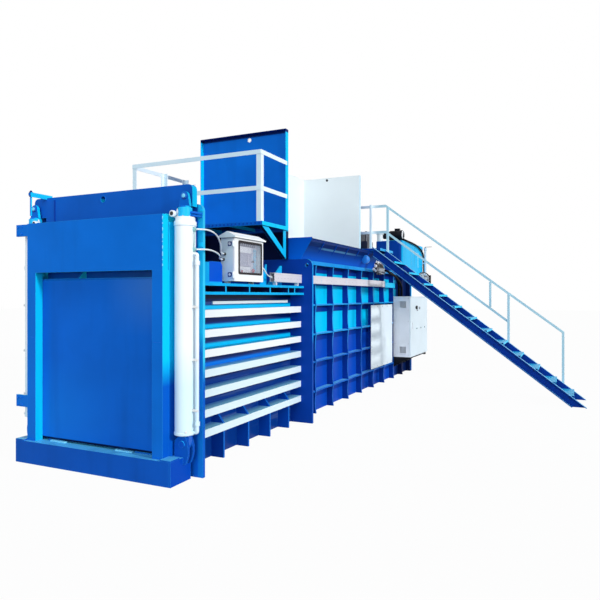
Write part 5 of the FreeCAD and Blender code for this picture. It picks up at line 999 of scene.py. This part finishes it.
def motor_details():
    low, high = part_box("pump_set")
    centre = (high.x + 0.004, (low.y + high.y) / 2, 2.821)  # of the cowl's grille
    x, y, z = centre
    b = Build().torus((x - 0.0015, y, z), "X", 0.093, 0.01)
    b.torus(centre, "X", 0.062, 0.004)
    b.done("motor_cowl_ring", "filter_plastic", pale, 0)
    b = Build()
    for r in (0.078, 0.046):
        b.torus((x - 0.0005, y, z), "X", r, 0.0035)
    b.turned((x - 0.009, y, z), "X", [(0.03, 0), (0.03, 0.008), (0.02, 0.012), (0.006, 0.013)], 24)
    for k in range(8):
        b.tube([around(centre, "X", r, 45 * k) for r in (0.028, 0.096)], 0.003, 8)
    b.done("motor_cowl_grid", "black_paint", bevel=0)
    b = Build().box(0.395, 0.495, 7.455, 7.535, 2.918, 2.968)
    b.box(0.389, 0.501, 7.449, 7.541, 2.966, 2.976)
    b.done("motor_terminal_box", "black_paint")


def tank_details():
    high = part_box("oil_tank")[1]
    side, top = high.x, high.z + 0.0005
    b = Build().head((0.34, 8.12, top), "Z", 0.185, 0.01, 0.178, 0.014, 48)
    for k in range(10):
        b.hexagon(around((0.34, 8.12, top + 0.0135), "Z", 0.165, 36 * k), "Z", 0.018, 0.01)
    b.done("tank_cover", "blue_paint", blue_trim)
    large = [(0.034, 0), (0.034, 0.02), (0.05, 0.022), (0.052, 0.058), (0.046, 0.066), (0.01, 0.068)]
    small = [(0.028, 0), (0.028, 0.014), (0.04, 0.016), (0.04, 0.046), (0.034, 0.052)]
    b = Build().turned((0.5, 7.86, top), "Z", large, 36)
    b.turned((0.22, 8.6, top), "Z", small, 32)
    b.done("tank_breathers", "black_plastic")
    b = Build().box(side - 0.0005, side + 0.006, 8.345, 8.395, 2.18, 2.52)
    for z in (2.205, 2.495):
        b.head((side, 8.37, z), "X", 0.016, 0.014, 0.009, 0.017)
    b.done("tank_level_gauge", "white_paint", light_trim)
    Build().weld((side, 7.86, 2.08), "Z", 0.58, 0.003, 0.012).done("tank_seam", "blue_paint", light_trim, 0)


def cooler_details():
    """Wire guard over the fan."""
    x, z = 0.905, 1.906
    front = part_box("oil_cooler")[0].y - 0.004
    Build().torus((x, front, z), "Y", 0.148, 0.011).done("cooler_guard_rim", "black_paint", bevel=0)
    b = Build()
    for r in (0.03, 0.052, 0.074, 0.096, 0.118, 0.136):
        b.torus((x, front - 0.013, z), "Y", r, 0.0035, 40, 8)
    for k in range(6):
        b.tube([around((x, y, z), "Y", r, 60 * k + 15)
                for r, y in ((0.012, front - 0.014), (0.142, front - 0.014), (0.15, front))], 0.003, 8)
    b.done("cooler_guard_wires", "filter_plastic", pale, 0)


def valve_details():
    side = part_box("gate_valve_block")[1].x
    caps, coils, bands, pipes = Build(), Build(), Build(), Build()
    cap = [(0.02, 0), (0.02, 0.01), (0.026, 0.014), (0.028, 0.036), (0.022, 0.046), (0.008, 0.049)]
    top_cap = [(0.018, 0), (0.018, 0.01), (0.024, 0.013), (0.024, 0.03), (0.016, 0.038), (0.006, 0.04)]
    end_cap = [(0.7, 0), (0.7, 0.014), (1, 0.018), (1, 0.04), (0.8, 0.05), (0.3, 0.053)]  # of radius 1
    for k, y in enumerate((5.075, 5.15, 5.225, 5.3)):
        top = 2.108 - 0.018 * (k % 2)
        caps.turned((side, y, 1.992), "X", cap, 24)
        coils.box(0.795, 0.842, y - 0.028, y + 0.028, 2.036, top)
        caps.turned((0.8185, y, top), "Z", top_cap, 24)
        bands.torus((side + 0.028, y, 1.992), "X", 0.027, 0.004, 24, 8)
    for x, z, r in ((0.8, 2, 0.024), (0.836, 2.052, 0.026), (0.8, 2.086, 0.022), (0.838, 1.975, 0.02)):
        caps.turned((x, 5.046, z), TO_FRONT, [(r * q, along) for q, along in end_cap], 24)
        bands.torus((x, 5.024, z), "Y", r + 0.001, 0.004, 24, 8)
    for k, y in enumerate((5.385, 5.435)):
        stem = [(0.022, 0), (0.022, 0.03), (0.016, 0.036), (0.016, 0.06 + 0.02 * k)]
        coils.turned((0.817, y, 2.03), "Z", stem, 20)
        bands.hexagon((side, y, 1.985), "X", 0.036, 0.018)
    pipes.tube([(0.86, 5.1, 1.955), (0.9, 5.12, 1.935), (0.905, 5.24, 1.925), (0.872, 5.33, 1.945),
                (0.85, 5.36, 1.965)], 0.008)
    pipes.tube([(0.855, 5.2, 1.962), (0.915, 5.22, 1.965), (0.918, 5.3, 1.955), (0.86, 5.4, 1.94)], 0.007)
    caps.done("valve_caps", "filter_plastic", pale, 0.0008)
    coils.done("valve_coils", "black_paint")
    bands.done("valve_nuts", "steel", brown, 0.0006)
    pipes.done("valve_pipes", "steel", bevel=0)


def cabinet_door_details():
    b = Build().box(1.0985, 1.106, 6.262, 6.298, 0.905, 1.075)
    b.prism([(1.106, 0.925), (1.124, 0.935), (1.126, 1.05), (1.106, 1.06)], "Y", 6.27, 6.29)
    b.done("cabinet_handle", "cabinet_paint", body="cabinet_door")
    b = Build()
    for y in (6.615, 6.905, 7.19):
        b.turned((1.11, y, 0.928), "X", [(0.0125, 0), (0.0125, 0.003), (0.009, 0.007), (0.003, 0.009)], 22)
    green = semi_gloss("lens_green", (0.01, 0.1, 0.07), 0.2, 0.1, 0, 0.5)
    b.done("cabinet_lenses", "green_plastic", green, 0, "cabinet_door")
    b = Build()
    rim = 0.012
    for y0, y1, z0, z1 in ((6.64, 6.72, 1.262, 1.352), (6.82, 6.88, 1.29, 1.34)):
        b.window(1.1, 1.1035, (y0, y1, z0, z1), (y0 + rim, y1 - rim, z0 + rim, z1 - rim), 0.006, 0.003)
    b.done("cabinet_plates", "black_plastic", dark_grey, 0.0006, "cabinet_door")


def cabinet_details():
    foot = [(0.022, 0), (0.022, 0.02), (0.038, 0.026), (0.04, 0.046), (0.034, 0.054)]
    plinth_top = 0.4095
    b = Build().box(0.984, 1.072, 6.62, 7.43, 0.376, plinth_top)
    b.box(1.03, 1.076, 6.23, 7.436, 0.398, plinth_top)
    for y in (6.3, 7.385):
        b.turned((1.045, y, plinth_top), (0, 0, -1), foot, 28)
    b.done("cabinet_plinth", "black_paint")
    b = Build().box(0.77, 1.114, 6.188, 6.196, 1.5275, 1.5345)
    b.box(1.1115, 1.1165, 6.188, 7.457, 1.5275, 1.5345)
    b.done("cabinet_lid_lip", "cabinet_paint", bevel=0.0008)
    b = Build()
    for z in (0.45, 0.66, 1.08, 1.288, 1.505):
        for x in (0.8, 1.058):
            b.head((x, 6.2005, z), TO_FRONT, 0.006, 0.002, 0.004, 0.0034, 14)
    b.done("cabinet_screws", "steel", bevel=0)


def sign_details():
    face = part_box("sign_panel")[1].x + 0.0002
    ends = (4.995, 6.085)
    places = [(y, z) for y in (ends[0], 5.27, 5.54, 5.81, ends[1]) for z in (0.35, 1.368)]
    places += [(y, z) for y in ends for z in (0.69, 1.03)]
    b = Build()
    for y, z in places:
        b.turned((face, y, z), "X", [(0.01, 0), (0.009, 0.003), (0.005, 0.005), (0.001, 0.0055)], 16)
    b.done("sign_rivets", "steel", bevel=0)


def rear_details():
    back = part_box("press_end_plate")[1].y
    ram_z = sum(corner.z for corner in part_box("ram_rod")) / 2
    b = Build()
    for x in (-0.7, 0.7):
        for z in (0.2, 0.55, 0.9, 1.25, 1.6, 1.9):
            b.hexagon((x, back, z), "Y", 0.03, 0.014)
    for k in range(12):
        b.hexagon(around((0, back, ram_z), "Y", 0.185, 30 * k + 15), "Y", 0.028, 0.014)
    b.done("end_plate_bolts", "steel")
    port = [(0.034, 0), (0.034, 0.03), (0.026, 0.034), (0.026, 0.052), (0.02, 0.056)]
    b = Build()
    for y in (7.6, 8.62):
        b.turned((0, y, ram_z + 0.136), "Z", port)
        b.hexagon((0, y, ram_z + 0.19), "Z", 0.04, 0.018)
    b.done("ram_cylinder_ports", "steel")
    b = Build()
    for y in (7.62, 8.58):
        b.torus((0, y, ram_z), "Y", 0.137, 0.01)
    b.done("ram_cylinder_bands", "blue_paint", cyan_trim, 0)


def hopper_details():
    stud = [(0.021, 0), (0.021, 0.008), (0.014, 0.01), (0.008, 0.0105)]
    Build().turned((-0.08, 5.064, 3.57), TO_FRONT, stud, 24).done("hopper_stud", "black_plastic")
    b = Build()
    for y in (2.3385, 2.334):
        b.torus((0.08, y, 3.542), "Y", 0.025, 0.004)
    b.done("hopper_hole_rim", "white_paint", pale, 0)


for details in (
        control_box_details, lift_details, gate_frame_details, gate_details, portal_details, lip_details,
        tray_details, platform_details, stair_details, motor_details, tank_details, cooler_details,
        valve_details, cabinet_door_details, cabinet_details, sign_details, rear_details, hopper_details):
    details()
